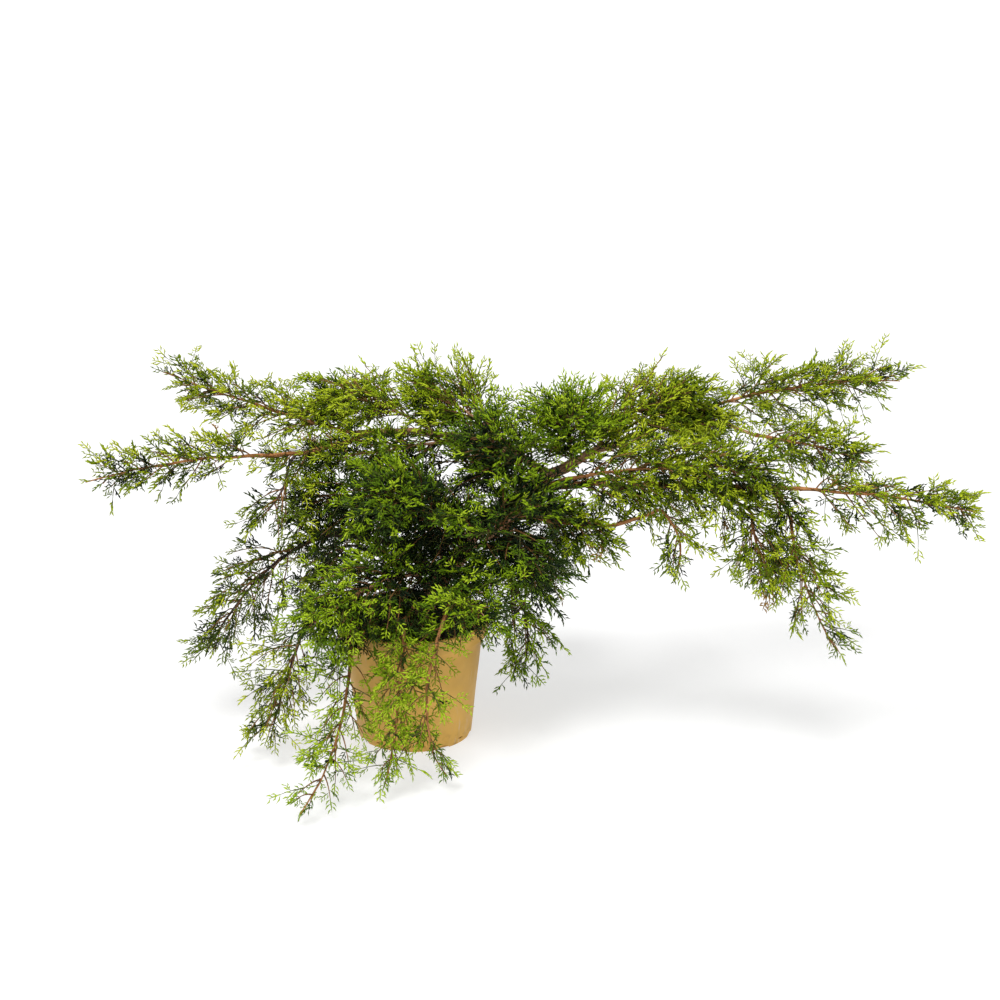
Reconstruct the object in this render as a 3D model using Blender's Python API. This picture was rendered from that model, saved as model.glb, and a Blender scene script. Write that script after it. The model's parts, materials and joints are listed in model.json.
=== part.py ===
"""Spreading juniper in a round nursery pot, as named solids.

Metres, +Z up. The origin is the middle of the pot's flat underside, +X runs along the
longer arms of the crown and -Y is the front. Every limb is a smooth route from a place on
its parent to a tip. Every mass of foliage grows by one seeded rule: a stem, side twigs that
turn round it by the golden angle, and flat toothed sprays along each twig.
"""
import math
import random
from collections import namedtuple

import bmesh
import bpy
from mathutils import Vector
from mathutils.bvhtree import BVHTree

# Pot and soil
POT_HEIGHT = 0.154
RIM_RADIUS = 0.095
SHOULDER_RADIUS = 0.086
FOOT_RADIUS = 0.072
COLLAR_HEIGHT = 0.020
COLLAR_DRAFT = 0.0015
WALL = 0.0018
POT_SIDES = 32
DRAIN_COUNT = 8
DRAIN_WIDTH = 0.020
DRAIN_HEIGHT = 0.005
DRAIN_FIRST = math.radians(-58)
SOIL_BELOW_RIM = 0.014

# Clearances
GAP = 0.00035
GUARD = 0.0006
POT_CLEARANCE = 0.006
FLOOR_CLEARANCE = 0.005
SHARED_SPACE = 1.35

# Trunk
TRUNK_LEAN = Vector((0.197, 0.020, 0.345))
TRUNK_FOOT_OFFSET = 0.004
TRUNK_BOW = Vector((-0.018, -0.004, 0.022))
TRUNK_RADIUS = 0.0088
TRUNK_TOP_RADIUS = 0.0058
FLARE_RADIUS = 0.0070
FLARE_REACH = 0.07
TRUNK_SIDES = 8

# Limbs and stems
BOUGH_SIDES = 5
BOUGH_RING_STEP = 0.03
STEM_SIDES = 4
STEM_RING_STEP = 0.05
STEM_RADIUS = 0.0021
STEM_TIP_RADIUS = 0.0012
STEM_END = 0.82
SEAT_STEP = 0.0001
SEAT_GUARD = 0.012

# Rule of growth: twigs turn round the stem, sprays stand left and right of each twig
GOLDEN_ANGLE = math.radians(137.5)
STEEP = 0.33
TWIG_FIRST, TWIG_RUN = 0.05, 0.87
TWIG_LEAN = math.radians(40)
TWIG_SHORTENING = 0.78
TWIG_LIFT = 0.07
TURN_DRAW = 0.3
LEAN_DRAW = 0.22
LENGTH_DRAW = (0.65, 1.15)
FACE_DRAW = 0.35
SPRAYS_A_TWIG = 5
SPRAY_FIRST, SPRAY_RUN = 0.22, 0.56
SPRAY_LEAN = math.radians(46)
SPRAY_RISE = 0.5
SPRAY_SHORTENING = 0.35
SPRAY_DROOP = 0.5
SPRAY_LIFT = 0.05

# Blades, fewer and larger than the real shoots that each one stands for
EVERY_TWIG, FEWEST_TWIGS = 7, 3
SPRAYS_GROWN = (0, 1)
LARGER = 1.50
TWIG_TEETH = 3
SPRAY_TEETH = 2
BLADE_REACH = 0.62
BLADE_END = 0.90
RIB_HALF_WIDTH = 0.0015
RIB_HEIGHT = 0.0012
RIB_THINNING = 0.5
ROOT_TAPER = 0.55
BARE_TWIG = 0.34
BARE_SPRAY = 0.12
TOOTH_SWEEP = 1.8
TOOTH_SLIDE = 0.05
STEM_OVERLAP = 0.004
SLIVERS = (0.0004, 0.0003, 0.0002, 0.0001)

Bough = namedtuple("Bough", "parent at tip bow thick thin")
Mass = namedtuple("Mass", "parent at tip bow spread twigs spray droop seed tint")

# Each bough: what it leaves, how far along that, its tip, how far its middle is carried off
# the straight line, and its radius at root and tip.
BOUGHS = {
    "bough_left": Bough("trunk", 0.90, (-0.078, 0.090, 0.366),
                        (0.010, -0.006, 0.022), 0.0048, 0.0030),
    "bough_left_low": Bough("bough_left", 0.90, (-0.179, -0.010, 0.364),
                            (0, -0.008, -0.006), 0.0034, 0.0024),
    "bough_left_drop": Bough("bough_left_low", 0.70, (-0.151, -0.008, 0.338),
                             (-0.002, 0, -0.001), 0.0019, 0.0017),
    "bough_left_top": Bough("bough_left", 0.62, (0.002, 0.068, 0.388),
                            (0, 0, 0), 0.0024, 0.0020),
    "bough_top_centre": Bough("bough_left", 0.22, (0.106, 0.038, 0.376),
                              (0, 0, 0), 0.0026, 0.0022),
    "bough_right_high": Bough("trunk", 0.97, (0.383, 0.130, 0.392),
                              (0, -0.004, 0.006), 0.0048, 0.0032),
    "bough_right_fork": Bough("bough_right_high", 0.80, (0.432, 0.098, 0.361),
                              (0, -0.005, 0.004), 0.0030, 0.0022),
    "bough_crown_right": Bough("bough_right_high", 0.22, (0.238, 0.048, 0.382),
                               (0, 0, 0), 0.0028, 0.0022),
    "bough_right": Bough("trunk", 0.80, (0.462, -0.080, 0.343),
                         (-0.010, -0.006, 0.004), 0.0046, 0.0024),
    "bough_right_up": Bough("bough_right", 0.06, (0.196, -0.04, 0.344),
                            (0, 0, 0.002), 0.0028, 0.0022),
    "bough_right_drop": Bough("bough_right", 0.91, (0.452, -0.088, 0.306),
                              (0.003, 0, 0.001), 0.0022, 0.0019),
    "bough_right_inner_drop": Bough("bough_right", 0.66, (0.408, -0.072, 0.31),
                                    (0.003, 0, 0.002), 0.0022, 0.0019),
    "bough_right_low": Bough("trunk", 0.68, (0.296, -0.090, 0.320),
                             (0.004, 0.004, -0.026), 0.0029, 0.0019),
    "bough_left_weeping": Bough("trunk", 0.22, (-0.143, 0.040, 0.232),
                                (0, 0, 0.036), 0.0046, 0.0028),
    "bough_left_weeping_low": Bough("trunk", 0.11, (-0.128, -0.058, 0.166),
                                    (0.006, 0, 0.030), 0.0042, 0.0026),
    "bough_trail_left": Bough("trunk", 0.08, (-0.07, -0.092, 0.152),
                              (0.004, -0.004, 0.02), 0.0036, 0.0026),
    "bough_trail_middle": Bough("trunk", 0.12, (-0.006, -0.094, 0.184),
                                (0.002, -0.002, 0.01), 0.0032, 0.0024),
    "bough_trail_right": Bough("trunk", 0.17, (0.044, -0.092, 0.192),
                               (0.006, -0.004, 0.006), 0.0034, 0.0023),
    "bough_right_weeping": Bough("trunk", 0.36, (0.120, -0.006, 0.204),
                                 (0.006, 0, 0.006), 0.0032, 0.0024),
    "bough_back_left": Bough("trunk", 0.14, (-0.062, 0.100, 0.204),
                             (0.004, 0, 0.016), 0.0040, 0.0028),
    "bough_back": Bough("trunk", 0.24, (0.020, 0.122, 0.212), (0.006, 0, 0.010), 0.0038, 0.0027),
    "bough_back_right": Bough("trunk", 0.46, (0.138, 0.096, 0.252),
                              (0.006, 0, 0.008), 0.0036, 0.0025),
}

# Each mass: the limb its stem meets and how far along that, the stem's tip and bow, how far
# its twigs reach, how many twigs the whole rule has, the length of a spray, how far twig
# ends fall, the seed of its draws, and which of the three greens it wears.
MASSES = {
    "foliage_left_low_arm": Mass("bough_left_low", 1, (-0.381, -0.074, 0.349), (0, 0, 0.008),
                                 0.048, 22, 0.040, 0.08, 11, "mid"),
    "foliage_left_high_arm": Mass("bough_left", 1, (-0.33, 0.195, 0.42), (0, 0, -0.004),
                                  0.070, 36, 0.050, 0.14, 12, "fresh"),
    "foliage_left_hanging": Mass("bough_left_drop", 1, (-0.189, -0.022, 0.284), (0.008, 0, 0),
                                 0.048, 12, 0.042, 0.25, 13, "deep"),
    "foliage_left_top": Mass("bough_left_top", 1, (-0.118, 0.12, 0.405), (0, 0, 0.01),
                             0.078, 42, 0.056, 0.08, 14, "fresh"),
    "foliage_top_centre": Mass("bough_top_centre", 1, (0.012, 0.08, 0.423), (0, 0, 0.006),
                               0.080, 42, 0.056, 0.08, 15, "fresh"),
    "foliage_crown_centre": Mass("trunk", 1, (0.189, -0.02, 0.421), (0, 0, 0),
                                 0.080, 38, 0.056, 0.05, 16, "mid"),
    "foliage_crown_right": Mass("bough_crown_right", 1, (0.345, 0.088, 0.417), (0, 0, 0.008),
                                0.080, 44, 0.056, 0.08, 17, "fresh"),
    "foliage_body_front": Mass("trunk", 0.32, (0.16, -0.072, 0.335), (0, -0.034, 0.006),
                               0.080, 50, 0.056, 0.10, 18, "mid"),
    "foliage_body_low": Mass("trunk", 0.58, (0.152, -0.08, 0.235), (0, -0.014, 0.016),
                             0.078, 30, 0.054, 0.20, 41, "mid"),
    "foliage_junction": Mass("trunk", 0.86, (0.086, -0.05, 0.405), (0, -0.018, 0),
                             0.078, 34, 0.054, 0.05, 42, "mid"),
    "foliage_inner": Mass("trunk", 0.74, (0.06, 0.08, 0.32), (0, 0, 0.02),
                          0.080, 30, 0.054, 0.15, 43, "deep"),
    "foliage_right_high_arm": Mass("bough_right_high", 1, (0.636, 0.215, 0.404), (0, 0, 0.01),
                                   0.068, 38, 0.052, 0.12, 19, "fresh"),
    "foliage_high_under": Mass("bough_right_high", 0.6, (0.392, 0.095, 0.382), (0, 0, 0),
                               0.050, 22, 0.046, 0.16, 45, "mid"),
    "foliage_right_fork": Mass("bough_right_fork", 1, (0.574, 0.07, 0.332), (0, 0, 0.004),
                               0.056, 28, 0.046, 0.12, 20, "mid"),
    "foliage_right_arm": Mass("bough_right", 1, (0.663, -0.12, 0.326), (0, 0, 0.004),
                              0.062, 32, 0.050, 0.20, 21, "mid"),
    "foliage_right_middle": Mass("bough_right_up", 1, (0.429, -0.1, 0.37), (0, 0, 0.01),
                                 0.080, 54, 0.056, 0.24, 22, "mid"),
    "foliage_right_drop": Mass("bough_right_drop", 1, (0.508, -0.118, 0.154), (-0.01, 0, 0),
                               0.062, 30, 0.048, 0.08, 23, "mid"),
    "foliage_right_inner_drop": Mass("bough_right_inner_drop", 1, (0.43, -0.09, 0.23),
                                     (-0.004, 0, 0), 0.066, 30, 0.048, 0.12, 24, "mid"),
    "foliage_right_low": Mass("bough_right_low", 1, (0.32, -0.104, 0.254), (0.01, 0, 0.006),
                              0.042, 10, 0.036, 0.20, 25, "mid"),
    "foliage_under_middle": Mass("bough_right_low", 0.24, (0.236, -0.072, 0.284), (0, -0.004, 0.004),
                                 0.052, 18, 0.042, 0.25, 26, "mid"),
    "foliage_body_left": Mass("trunk", 0.52, (-0.146, 0.03, 0.284), (0, 0, 0.03),
                              0.096, 56, 0.060, 0.16, 27, "deep"),
    "foliage_left_under": Mass("bough_left", 0.5, (-0.112, 0.035, 0.352), (0, -0.004, -0.004),
                               0.060, 32, 0.050, 0.25, 44, "mid"),
    "foliage_body_centre": Mass("trunk", 0.42, (-0.034, -0.09, 0.345), (0, -0.02, 0.012),
                                0.092, 50, 0.058, 0.12, 28, "deep"),
    "foliage_body_right": Mass("trunk", 0.5, (0.172, 0.066, 0.17), (0, 0, 0.016),
                               0.074, 26, 0.052, 0.20, 29, "deep"),
    "foliage_left_weeping": Mass("bough_left_weeping", 1, (-0.262, 0.02, 0.102), (0, 0, 0.018),
                                 0.072, 28, 0.050, 0.12, 30, "deep"),
    "foliage_left_trailing": Mass("bough_left_weeping_low", 1, (-0.17, -0.11, 0.03),
                                  (-0.006, 0, -0.004), 0.066, 24, 0.046, 0.10, 31, "mid"),
    "foliage_front_left": Mass("trunk", 0.25, (-0.12, -0.144, 0.188), (0.004, -0.02, 0.03),
                               0.086, 58, 0.056, 0.18, 32, "fresh"),
    "foliage_front_right": Mass("trunk", 0.18, (0.092, -0.15, 0.206), (0, -0.01, 0.014),
                                0.080, 42, 0.054, 0.20, 33, "fresh"),
    "foliage_front_trail_left": Mass("bough_trail_left", 1, (-0.116, -0.29, 0.024), (0.013, 0, -0.012),
                                     0.054, 26, 0.042, 0.05, 34, "fresh"),
    "foliage_front_trail_middle": Mass("bough_trail_middle", 1, (-0.026, -0.212, 0.022),
                                       (0.004, -0.024, -0.012), 0.044, 20, 0.038, 0.05, 40, "fresh"),
    "foliage_front_trail_right": Mass("bough_trail_right", 1, (0.044, -0.18, 0.022),
                                      (-0.022, -0.03, -0.008), 0.044, 20, 0.038, 0.05, 35, "fresh"),
    "foliage_right_weeping": Mass("bough_right_weeping", 1, (0.14, -0.02, 0.092), (0.01, 0, 0.008),
                                  0.056, 18, 0.046, 0.20, 36, "mid"),
    "foliage_back_left": Mass("bough_back_left", 1, (-0.160, 0.236, 0.094), (0, 0, 0.034),
                              0.080, 24, 0.056, 0.15, 37, "deep"),
    "foliage_back": Mass("bough_back", 1, (0.030, 0.290, 0.080), (0, 0, 0.040),
                         0.080, 24, 0.056, 0.15, 38, "mid"),
    "foliage_back_right": Mass("bough_back_right", 1, (0.184, 0.236, 0.170), (0, 0, 0.024),
                               0.076, 22, 0.054, 0.15, 39, "deep"),
}

UP = Vector((0, 0, 1))


class Route:
    """Smooth curve from root to tip whose middle is carried off the straight line by bow."""

    def __init__(self, root, tip, bow):
        self.root = Vector(root)
        self.tip = Vector(tip)
        self.bow = Vector(bow)
        self.control = (self.root + self.tip) / 2 + 2 * self.bow
        self.side = (self.control - self.root).cross(self.tip - self.root)
        if self.side.length < 1e-7:
            self.side = (self.tip - self.root).cross(UP)
        if self.side.length < 1e-7:
            self.side = Vector((1, 0, 0))
        self.side.normalize()
        places = [self.point(i / 16) for i in range(17)]
        self.length = sum((b - a).length for a, b in zip(places, places[1:]))

    def point(self, t):
        return (1 - t) ** 2 * self.root + 2 * t * (1 - t) * self.control + t ** 2 * self.tip

    def heading(self, t):
        slope = (1 - t) * (self.control - self.root) + t * (self.tip - self.control)
        return slope.normalized()


def material(name, colour, roughness):
    """Plain Principled material."""
    made = bpy.data.materials.new(name)
    made.use_nodes = True
    shader = made.node_tree.nodes["Principled BSDF"]
    shader.inputs["Base Color"].default_value = (*colour, 1)
    shader.inputs["Roughness"].default_value = roughness
    shader.inputs["Metallic"].default_value = 0
    made.diffuse_color = (*colour, 1)
    return made


def mesh_object(name, shape, finish, collection=None):
    """Object from a list of corners and a list of faces, with its faces pointing out."""
    corners, faces = shape
    mesh = bpy.data.meshes.new(name)
    mesh.from_pydata([tuple(corner) for corner in corners], [], faces)
    work = bmesh.new()
    work.from_mesh(mesh)
    bmesh.ops.recalc_face_normals(work, faces=work.faces)
    if work.calc_volume(signed=True) < 0:
        bmesh.ops.reverse_faces(work, faces=work.faces)
    work.to_mesh(mesh)
    work.free()
    if finish:
        mesh.materials.append(finish)
    made = bpy.data.objects.new(name, mesh)
    (collection or bpy.context.scene.collection).objects.link(made)
    return made


def round_off(piece, angle=40):
    """Smooth shading that keeps the edges sharper than the angle."""
    piece.data.shade_smooth()
    piece.data.set_sharp_from_angle(angle=math.radians(angle))


def tree_of(piece):
    """Search tree over one object's faces."""
    work = bmesh.new()
    work.from_mesh(piece.data)
    bmesh.ops.triangulate(work, faces=work.faces)
    tree = BVHTree.FromBMesh(work)
    work.free()
    return tree


def turned(profile, sides):
    """Closed turned shape from (radius, height) points that start and end on the axis."""
    corners, faces = [], []
    rings = []
    for radius, height in profile:
        if radius == 0:
            rings.append([len(corners)])
            corners.append(Vector((0, 0, height)))
            continue
        rings.append(list(range(len(corners), len(corners) + sides)))
        for i in range(sides):
            turn = math.tau * i / sides
            corners.append(Vector((radius * math.cos(turn), radius * math.sin(turn), height)))
    for ring, after in zip(rings, rings[1:]):
        for i in range(sides):
            j = (i + 1) % sides
            if len(ring) == 1:
                faces.append((ring[0], after[i], after[j]))
            elif len(after) == 1:
                faces.append((ring[j], ring[i], after[0]))
            else:
                faces.append((ring[i], ring[j], after[j], after[i]))
    return corners, faces


def tube(route, start, stop, thick, thin, sides, rings, flat_foot=False, flare=0.0):
    """Closed tapering limb along part of a route."""
    corners, faces = [], []
    for k in range(rings + 1):
        share = k / rings
        t = start + (stop - start) * share
        heading = UP if flat_foot and k == 0 else route.heading(t)
        lateral = route.side - heading * route.side.dot(heading)
        lateral.normalize()
        across = lateral.cross(heading)
        radius = thick + (thin - thick) * share + flare * math.exp(-share / FLARE_REACH)
        for i in range(sides):
            turn = math.tau * i / sides
            offset = math.cos(turn) * lateral + math.sin(turn) * across
            corners.append(route.point(t) + radius * offset)
    for k in range(rings):
        for i in range(sides):
            a, b = k * sides + i, k * sides + (i + 1) % sides
            faces.append((a, b, b + sides, a + sides))
    faces.append(tuple(range(sides)))
    faces.append(tuple(range(rings * sides, (rings + 1) * sides)))
    return corners, faces


def blade(route, normal, reach, pairs, bare, root=0.0, grow=0.0):
    """Closed toothed blade: a three-cornered rib, bare at its root, with pairs of swept teeth.

    Station i of the rib has a left, a right and an upper corner. Root starts the rib further
    out and grow fattens it, for testing what the blade would touch.
    """
    corners, faces = [], []

    def frame(t):
        heading = route.heading(t)
        lateral = heading.cross(normal).normalized()
        return route.point(t), lateral, lateral.cross(heading)

    leafy = BLADE_END - bare
    stations = [root] + [bare + leafy * i / pairs for i in range(pairs + 1)]
    for t in stations:
        place, lateral, over = frame(t)
        sunk = ROOT_TAPER if t == 0 else 1
        half = sunk * RIB_HALF_WIDTH * (1 - RIB_THINNING * t) + grow
        high = sunk * RIB_HEIGHT * (1 - RIB_THINNING * t) + grow
        low = place - 0.5 * high * over
        corners += [low + half * lateral, low - half * lateral, place + high * over]
    for i in range(pairs):
        out = reach * math.sin(math.pi * (i + 1.4) / (pairs + 1.8)) + grow
        for hand, slide in ((1, 0.0), (-1, TOOTH_SLIDE)):
            place, lateral, over = frame(min(bare + leafy * (i + TOOTH_SWEEP) / pairs + slide, 0.98))
            corners.append(place + hand * out * lateral)
    corners.append(route.point(1) + grow * route.heading(1))
    tooth, end = 3 * (pairs + 2), len(corners) - 1
    for i in range(pairs + 1):
        left, right, over = 3 * i, 3 * i + 1, 3 * i + 2
        faces.append((left, right, right + 3, left + 3))
        for hand, edge in enumerate((left, right)):
            if i == 0:
                faces.append((over, edge, edge + 3, over + 3))
            else:
                tip = tooth + 2 * (i - 1) + hand
                faces += [(over, edge, tip), (over, tip, over + 3), (over + 3, tip, edge + 3)]
                faces.append((edge, tip, edge + 3))
    left, right, over = range(3 * (pairs + 1), 3 * (pairs + 2))
    faces += [(over, left, end), (over, end, right), (left, right, end), (0, 1, 2)]
    return corners, faces


def limb_routes():
    """Route of the trunk, of each bough from its place on its parent, and of each stem."""
    foot = Vector((TRUNK_FOOT_OFFSET, 0, POT_HEIGHT - SOIL_BELOW_RIM + GAP))
    routes = {"trunk": Route(foot, TRUNK_LEAN, TRUNK_BOW)}
    for name, plan in {**BOUGHS, **MASSES}.items():
        root = routes[plan.parent].point(plan.at)
        routes[name] = Route(root, plan.tip, plan.bow)
    return routes


def clear_start(route, thick, thin, sides, carrier, trees):
    """Share of the route where a limb's root stands a gap clear of its carrier and the rest."""
    step = SEAT_STEP / route.length
    margin = GAP / route.length
    ahead = min(SEAT_GUARD / route.length, 0.5)
    ahead_radius = thick + (thin - thick) * ahead
    for count in range(int(0.5 / step)):
        t = count * step
        place, normal, index, distance = carrier.find_nearest(route.point(t))
        if (route.point(t) - place).dot(normal) < 0:
            continue
        guard = tube(route, t - margin, t + ahead, thick + GAP, ahead_radius + GAP, sides, 3)
        if touches_nothing(guard, trees):
            return t
    raise RuntimeError("no clear start")


def touches_nothing(shape, trees):
    """Whether a closed shape crosses none of the solids made so far."""
    test = BVHTree.FromPolygons(*shape)
    return not any(test.overlap(tree) for tree in trees.values())


def twigs(mass, route):
    """Every twig of the rule: its number, its route and the normal its sprays lie flat on."""
    for k in range(mass.twigs):
        draw = random.Random(mass.seed * 100 + k)
        t = TWIG_FIRST + TWIG_RUN * (k + 0.5) / mass.twigs
        heading = route.heading(t)
        flat = heading.cross(UP)
        flat = flat.normalized() if flat.length > STEEP else route.side
        over = flat.cross(heading)
        turn = GOLDEN_ANGLE * k + draw.uniform(-TURN_DRAW, TURN_DRAW)
        lean = TWIG_LEAN + draw.uniform(-LEAN_DRAW, LEAN_DRAW)
        aside = math.cos(turn) * flat + math.sin(turn) * over
        course = math.cos(lean) * heading + math.sin(lean) * aside
        length = mass.spread * (1 - TWIG_SHORTENING * t * t) * draw.uniform(*LENGTH_DRAW)
        root = route.point(t)
        twig = Route(root, root + length * (course - mass.droop * UP), TWIG_LIFT * length * (UP - heading))
        ahead = twig.heading(0.5)
        face = UP - ahead * ahead.dot(UP)
        if face.length < STEEP:
            face = aside - ahead * ahead.dot(aside)
        tilt = Vector([draw.uniform(-FACE_DRAW, FACE_DRAW) for axis in range(3)])
        yield k, twig, (face.normalized() + tilt).normalized()


def sprays(mass, twig, face, k):
    """Side sprays of a twig, left and right in turn, shorter towards its tip."""
    for j in range(SPRAYS_A_TWIG):
        draw = random.Random(mass.seed * 10000 + k * 10 + j)
        t = SPRAY_FIRST + SPRAY_RUN * j / (SPRAYS_A_TWIG - 1)
        heading = twig.heading(t)
        lateral = heading.cross(face).normalized()
        hand = 1 if (j + k) % 2 else -1
        lean = SPRAY_LEAN + draw.uniform(-LEAN_DRAW, LEAN_DRAW)
        course = math.cos(lean) * heading + hand * math.sin(lean) * lateral
        course += draw.uniform(-SPRAY_RISE, SPRAY_RISE) * face - SPRAY_DROOP * mass.droop * UP
        length = mass.spray * draw.uniform(*LENGTH_DRAW) * (1 - SPRAY_SHORTENING * t)
        root = twig.point(t)
        yield j, Route(root, root + length * course, SPRAY_LIFT * length * face)


def in_space(point, name, stems):
    """Whether a point keeps to its mass's own space: near its own stem, off pot and floor."""
    if point.z < FLOOR_CLEARANCE:
        return False
    beside = math.hypot(point.x, point.y)
    if point.z < POT_HEIGHT + POT_CLEARANCE and beside < RIM_RADIUS + POT_CLEARANCE:
        return False
    own = min((point - place).length for place in stems[name])
    return all(own < SHARED_SPACE * (point - place).length
               for other in stems if other != name for place in stems[other])


def make_stems(routes, trees):
    """Shape of each mass's stem, seated a gap clear of what carries it."""
    shapes = {}
    for name, mass in MASSES.items():
        route = routes[name]
        start = clear_start(route, STEM_RADIUS, STEM_TIP_RADIUS, STEM_SIDES, trees[mass.parent], trees)
        rings = max(3, round(route.length / STEM_RING_STEP))
        shapes[name] = tube(route, start, STEM_END, STEM_RADIUS, STEM_TIP_RADIUS, STEM_SIDES, rings)
        trees[name] = BVHTree.FromPolygons(*shapes[name])
    return shapes


def grow_mass(name, routes, shapes, stems, trees, finish):
    """One mass of foliage, fused into one solid that touches no other limb, stem or mass."""
    mass, route = MASSES[name], routes[name]
    stem = mesh_object(name, shapes[name], finish)
    parts = bpy.data.collections.new(name + "_parts")
    bpy.context.scene.collection.children.link(parts)

    twigs_made = {}

    def add_blade(course, face, pairs, bare, carrier):
        """Add a blade if it keeps to the space and touches only its carrier, at its root."""
        longer = Route(course.root, course.root + LARGER * (course.tip - course.root), LARGER * course.bow)
        plan = (longer, face, BLADE_REACH * mass.spray, pairs, bare)
        shape = blade(*plan)
        kept = all(in_space(course.point(t), name, stems) for t in (0.5, 1))
        if not kept or lowest(shape) < FLOOR_CLEARANCE:
            return None
        others = {key: tree for key, tree in {**trees, **twigs_made}.items() if key not in (name, carrier)}
        if not touches_nothing(blade(*plan, grow=GUARD), others):
            return None
        if not touches_nothing(blade(*plan, root=0.8 * bare), {carrier: twigs_made[carrier]}):
            return None
        made = mesh_object(f"{name}_{len(parts.objects)}", shape, None, parts)
        twigs_made[made.name] = BVHTree.FromPolygons(*shape)
        return made.name

    twigs_made["stem"] = trees[name]
    end = Route(route.point(STEM_END - STEM_OVERLAP / route.length), route.tip, (0, 0, 0))
    add_blade(end, route.side.cross(end.heading(0)), TWIG_TEETH, BARE_SPRAY, "stem")
    wanted = max(FEWEST_TWIGS, mass.twigs // EVERY_TWIG)
    step = mass.twigs // wanted
    grown = 0
    for k, twig, face in sorted(twigs(mass, route), key=lambda twig: (twig[0] % step, twig[0])):
        carrier = grown < wanted and add_blade(twig, face, TWIG_TEETH, BARE_TWIG, "stem")
        if not carrier:
            continue
        grown += 1
        for j, course in sprays(mass, twig, face, k):
            if j in SPRAYS_GROWN:
                add_blade(course, face, SPRAY_TEETH, BARE_SPRAY, carrier)
    fuse(stem, parts)
    return stem


def lowest(shape):
    """Height of a shape's lowest corner."""
    return min(corner.z for corner in shape[0])


def fuse(stem, parts):
    """Join a mass's parts to its stem by one union, then clear the parts away."""
    union = stem.modifiers.new("union", "BOOLEAN")
    union.operation = "UNION"
    union.operand_type = "COLLECTION"
    union.collection = parts
    union.solver = "MANIFOLD"
    view = bpy.context.evaluated_depsgraph_get()
    fused = bpy.data.meshes.new_from_object(stem.evaluated_get(view))
    stem.modifiers.clear()
    stem.data = fused
    for piece in list(parts.objects):
        bpy.data.objects.remove(piece)
    bpy.data.collections.remove(parts)
    keep_main_body(stem)


def keep_main_body(piece):
    """Drop loose scraps, sealed hollows and slivers: the body with most faces stays."""
    work = bmesh.new()
    work.from_mesh(piece.data)
    bmesh.ops.remove_doubles(work, verts=work.verts, dist=1e-6)
    bodies, seen = [], set()
    for seed in work.faces:
        if seed in seen:
            continue
        seen.add(seed)
        body, front = [], [seed]
        while front:
            face = front.pop()
            body.append(face)
            for edge in face.edges:
                for other in edge.link_faces:
                    if other not in seen:
                        seen.add(other)
                        front.append(other)
        bodies.append(body)
    main = max(bodies, key=len)
    for body in bodies:
        if body is not main:
            bmesh.ops.delete(work, geom=body, context="FACES")
    work.to_mesh(piece.data)
    for sliver in SLIVERS:
        trimmed = work.copy()
        bmesh.ops.triangulate(trimmed, faces=trimmed.faces)
        bmesh.ops.remove_doubles(trimmed, verts=trimmed.verts, dist=sliver)
        bmesh.ops.dissolve_limit(trimmed, angle_limit=0.02, verts=trimmed.verts, edges=trimmed.edges)
        bmesh.ops.triangulate(trimmed, faces=trimmed.faces)
        sound = all(part.is_manifold for part in list(trimmed.edges) + list(trimmed.verts))
        if sound:
            trimmed.to_mesh(piece.data)
        trimmed.free()
        if sound:
            break
    work.free()


def make_pot(finish):
    """Thin-walled pot with an outward collar and eight arched drain openings at its foot."""
    shoulder = POT_HEIGHT - COLLAR_HEIGHT
    collar = RIM_RADIUS - COLLAR_DRAFT
    outer = [(0, 0), (FOOT_RADIUS - 0.002, 0), (FOOT_RADIUS, 0.002), (SHOULDER_RADIUS, shoulder - 0.002)]
    lip = [(collar, shoulder), (RIM_RADIUS, POT_HEIGHT - 0.002), (RIM_RADIUS - 0.001, POT_HEIGHT)]
    inside = [(RIM_RADIUS - WALL, POT_HEIGHT), (collar - WALL, shoulder + WALL),
              (SHOULDER_RADIUS - WALL, shoulder - 0.001), (FOOT_RADIUS - WALL, WALL), (0, WALL)]
    pot = mesh_object("pot", turned(outer + lip + inside, POT_SIDES), finish)
    drains = bpy.data.collections.new("drains")
    bpy.context.scene.collection.children.link(drains)
    radius = (DRAIN_WIDTH ** 2 / 4 + DRAIN_HEIGHT ** 2) / (2 * DRAIN_HEIGHT)
    for i in range(DRAIN_COUNT):
        turn = DRAIN_FIRST + math.tau * i / DRAIN_COUNT
        out = Vector((math.cos(turn), math.sin(turn), 0))
        low = Vector((0, 0, DRAIN_HEIGHT - radius))
        course = Route(0.90 * FOOT_RADIUS * out + low, 1.12 * FOOT_RADIUS * out + low, Vector((0, 0, 0)))
        drain = mesh_object(f"drain_{i}", tube(course, 0, 1, radius, radius, 20, 1), None, drains)
        drain.hide_render = True
        drain.display_type = "WIRE"
    cut = pot.modifiers.new("drains", "BOOLEAN")
    cut.operation = "DIFFERENCE"
    cut.operand_type = "COLLECTION"
    cut.collection = drains
    cut.solver = "EXACT"
    view = bpy.context.evaluated_depsgraph_get()
    pot_mesh = bpy.data.meshes.new_from_object(pot.evaluated_get(view))
    pot.modifiers.clear()
    pot.data = pot_mesh
    for drain in list(drains.objects):
        bpy.data.objects.remove(drain)
    bpy.data.collections.remove(drains)
    keep_main_body(pot)
    round_off(pot)
    return pot


def make_soil(finish):
    """Soil that fills the pot to just under its collar's top."""
    top = POT_HEIGHT - SOIL_BELOW_RIM
    shoulder = POT_HEIGHT - COLLAR_HEIGHT
    room = WALL + 2 * GAP
    collar = RIM_RADIUS - COLLAR_DRAFT - room
    profile = [(0, WALL + GAP), (FOOT_RADIUS - room - 0.001, WALL + GAP), (SHOULDER_RADIUS - room, shoulder),
               (collar, shoulder + 0.004), (collar, top - 0.003), (0.6 * RIM_RADIUS, top), (0, top)]
    soil = mesh_object("soil", turned(profile, POT_SIDES), finish)
    round_off(soil)
    return soil


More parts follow.
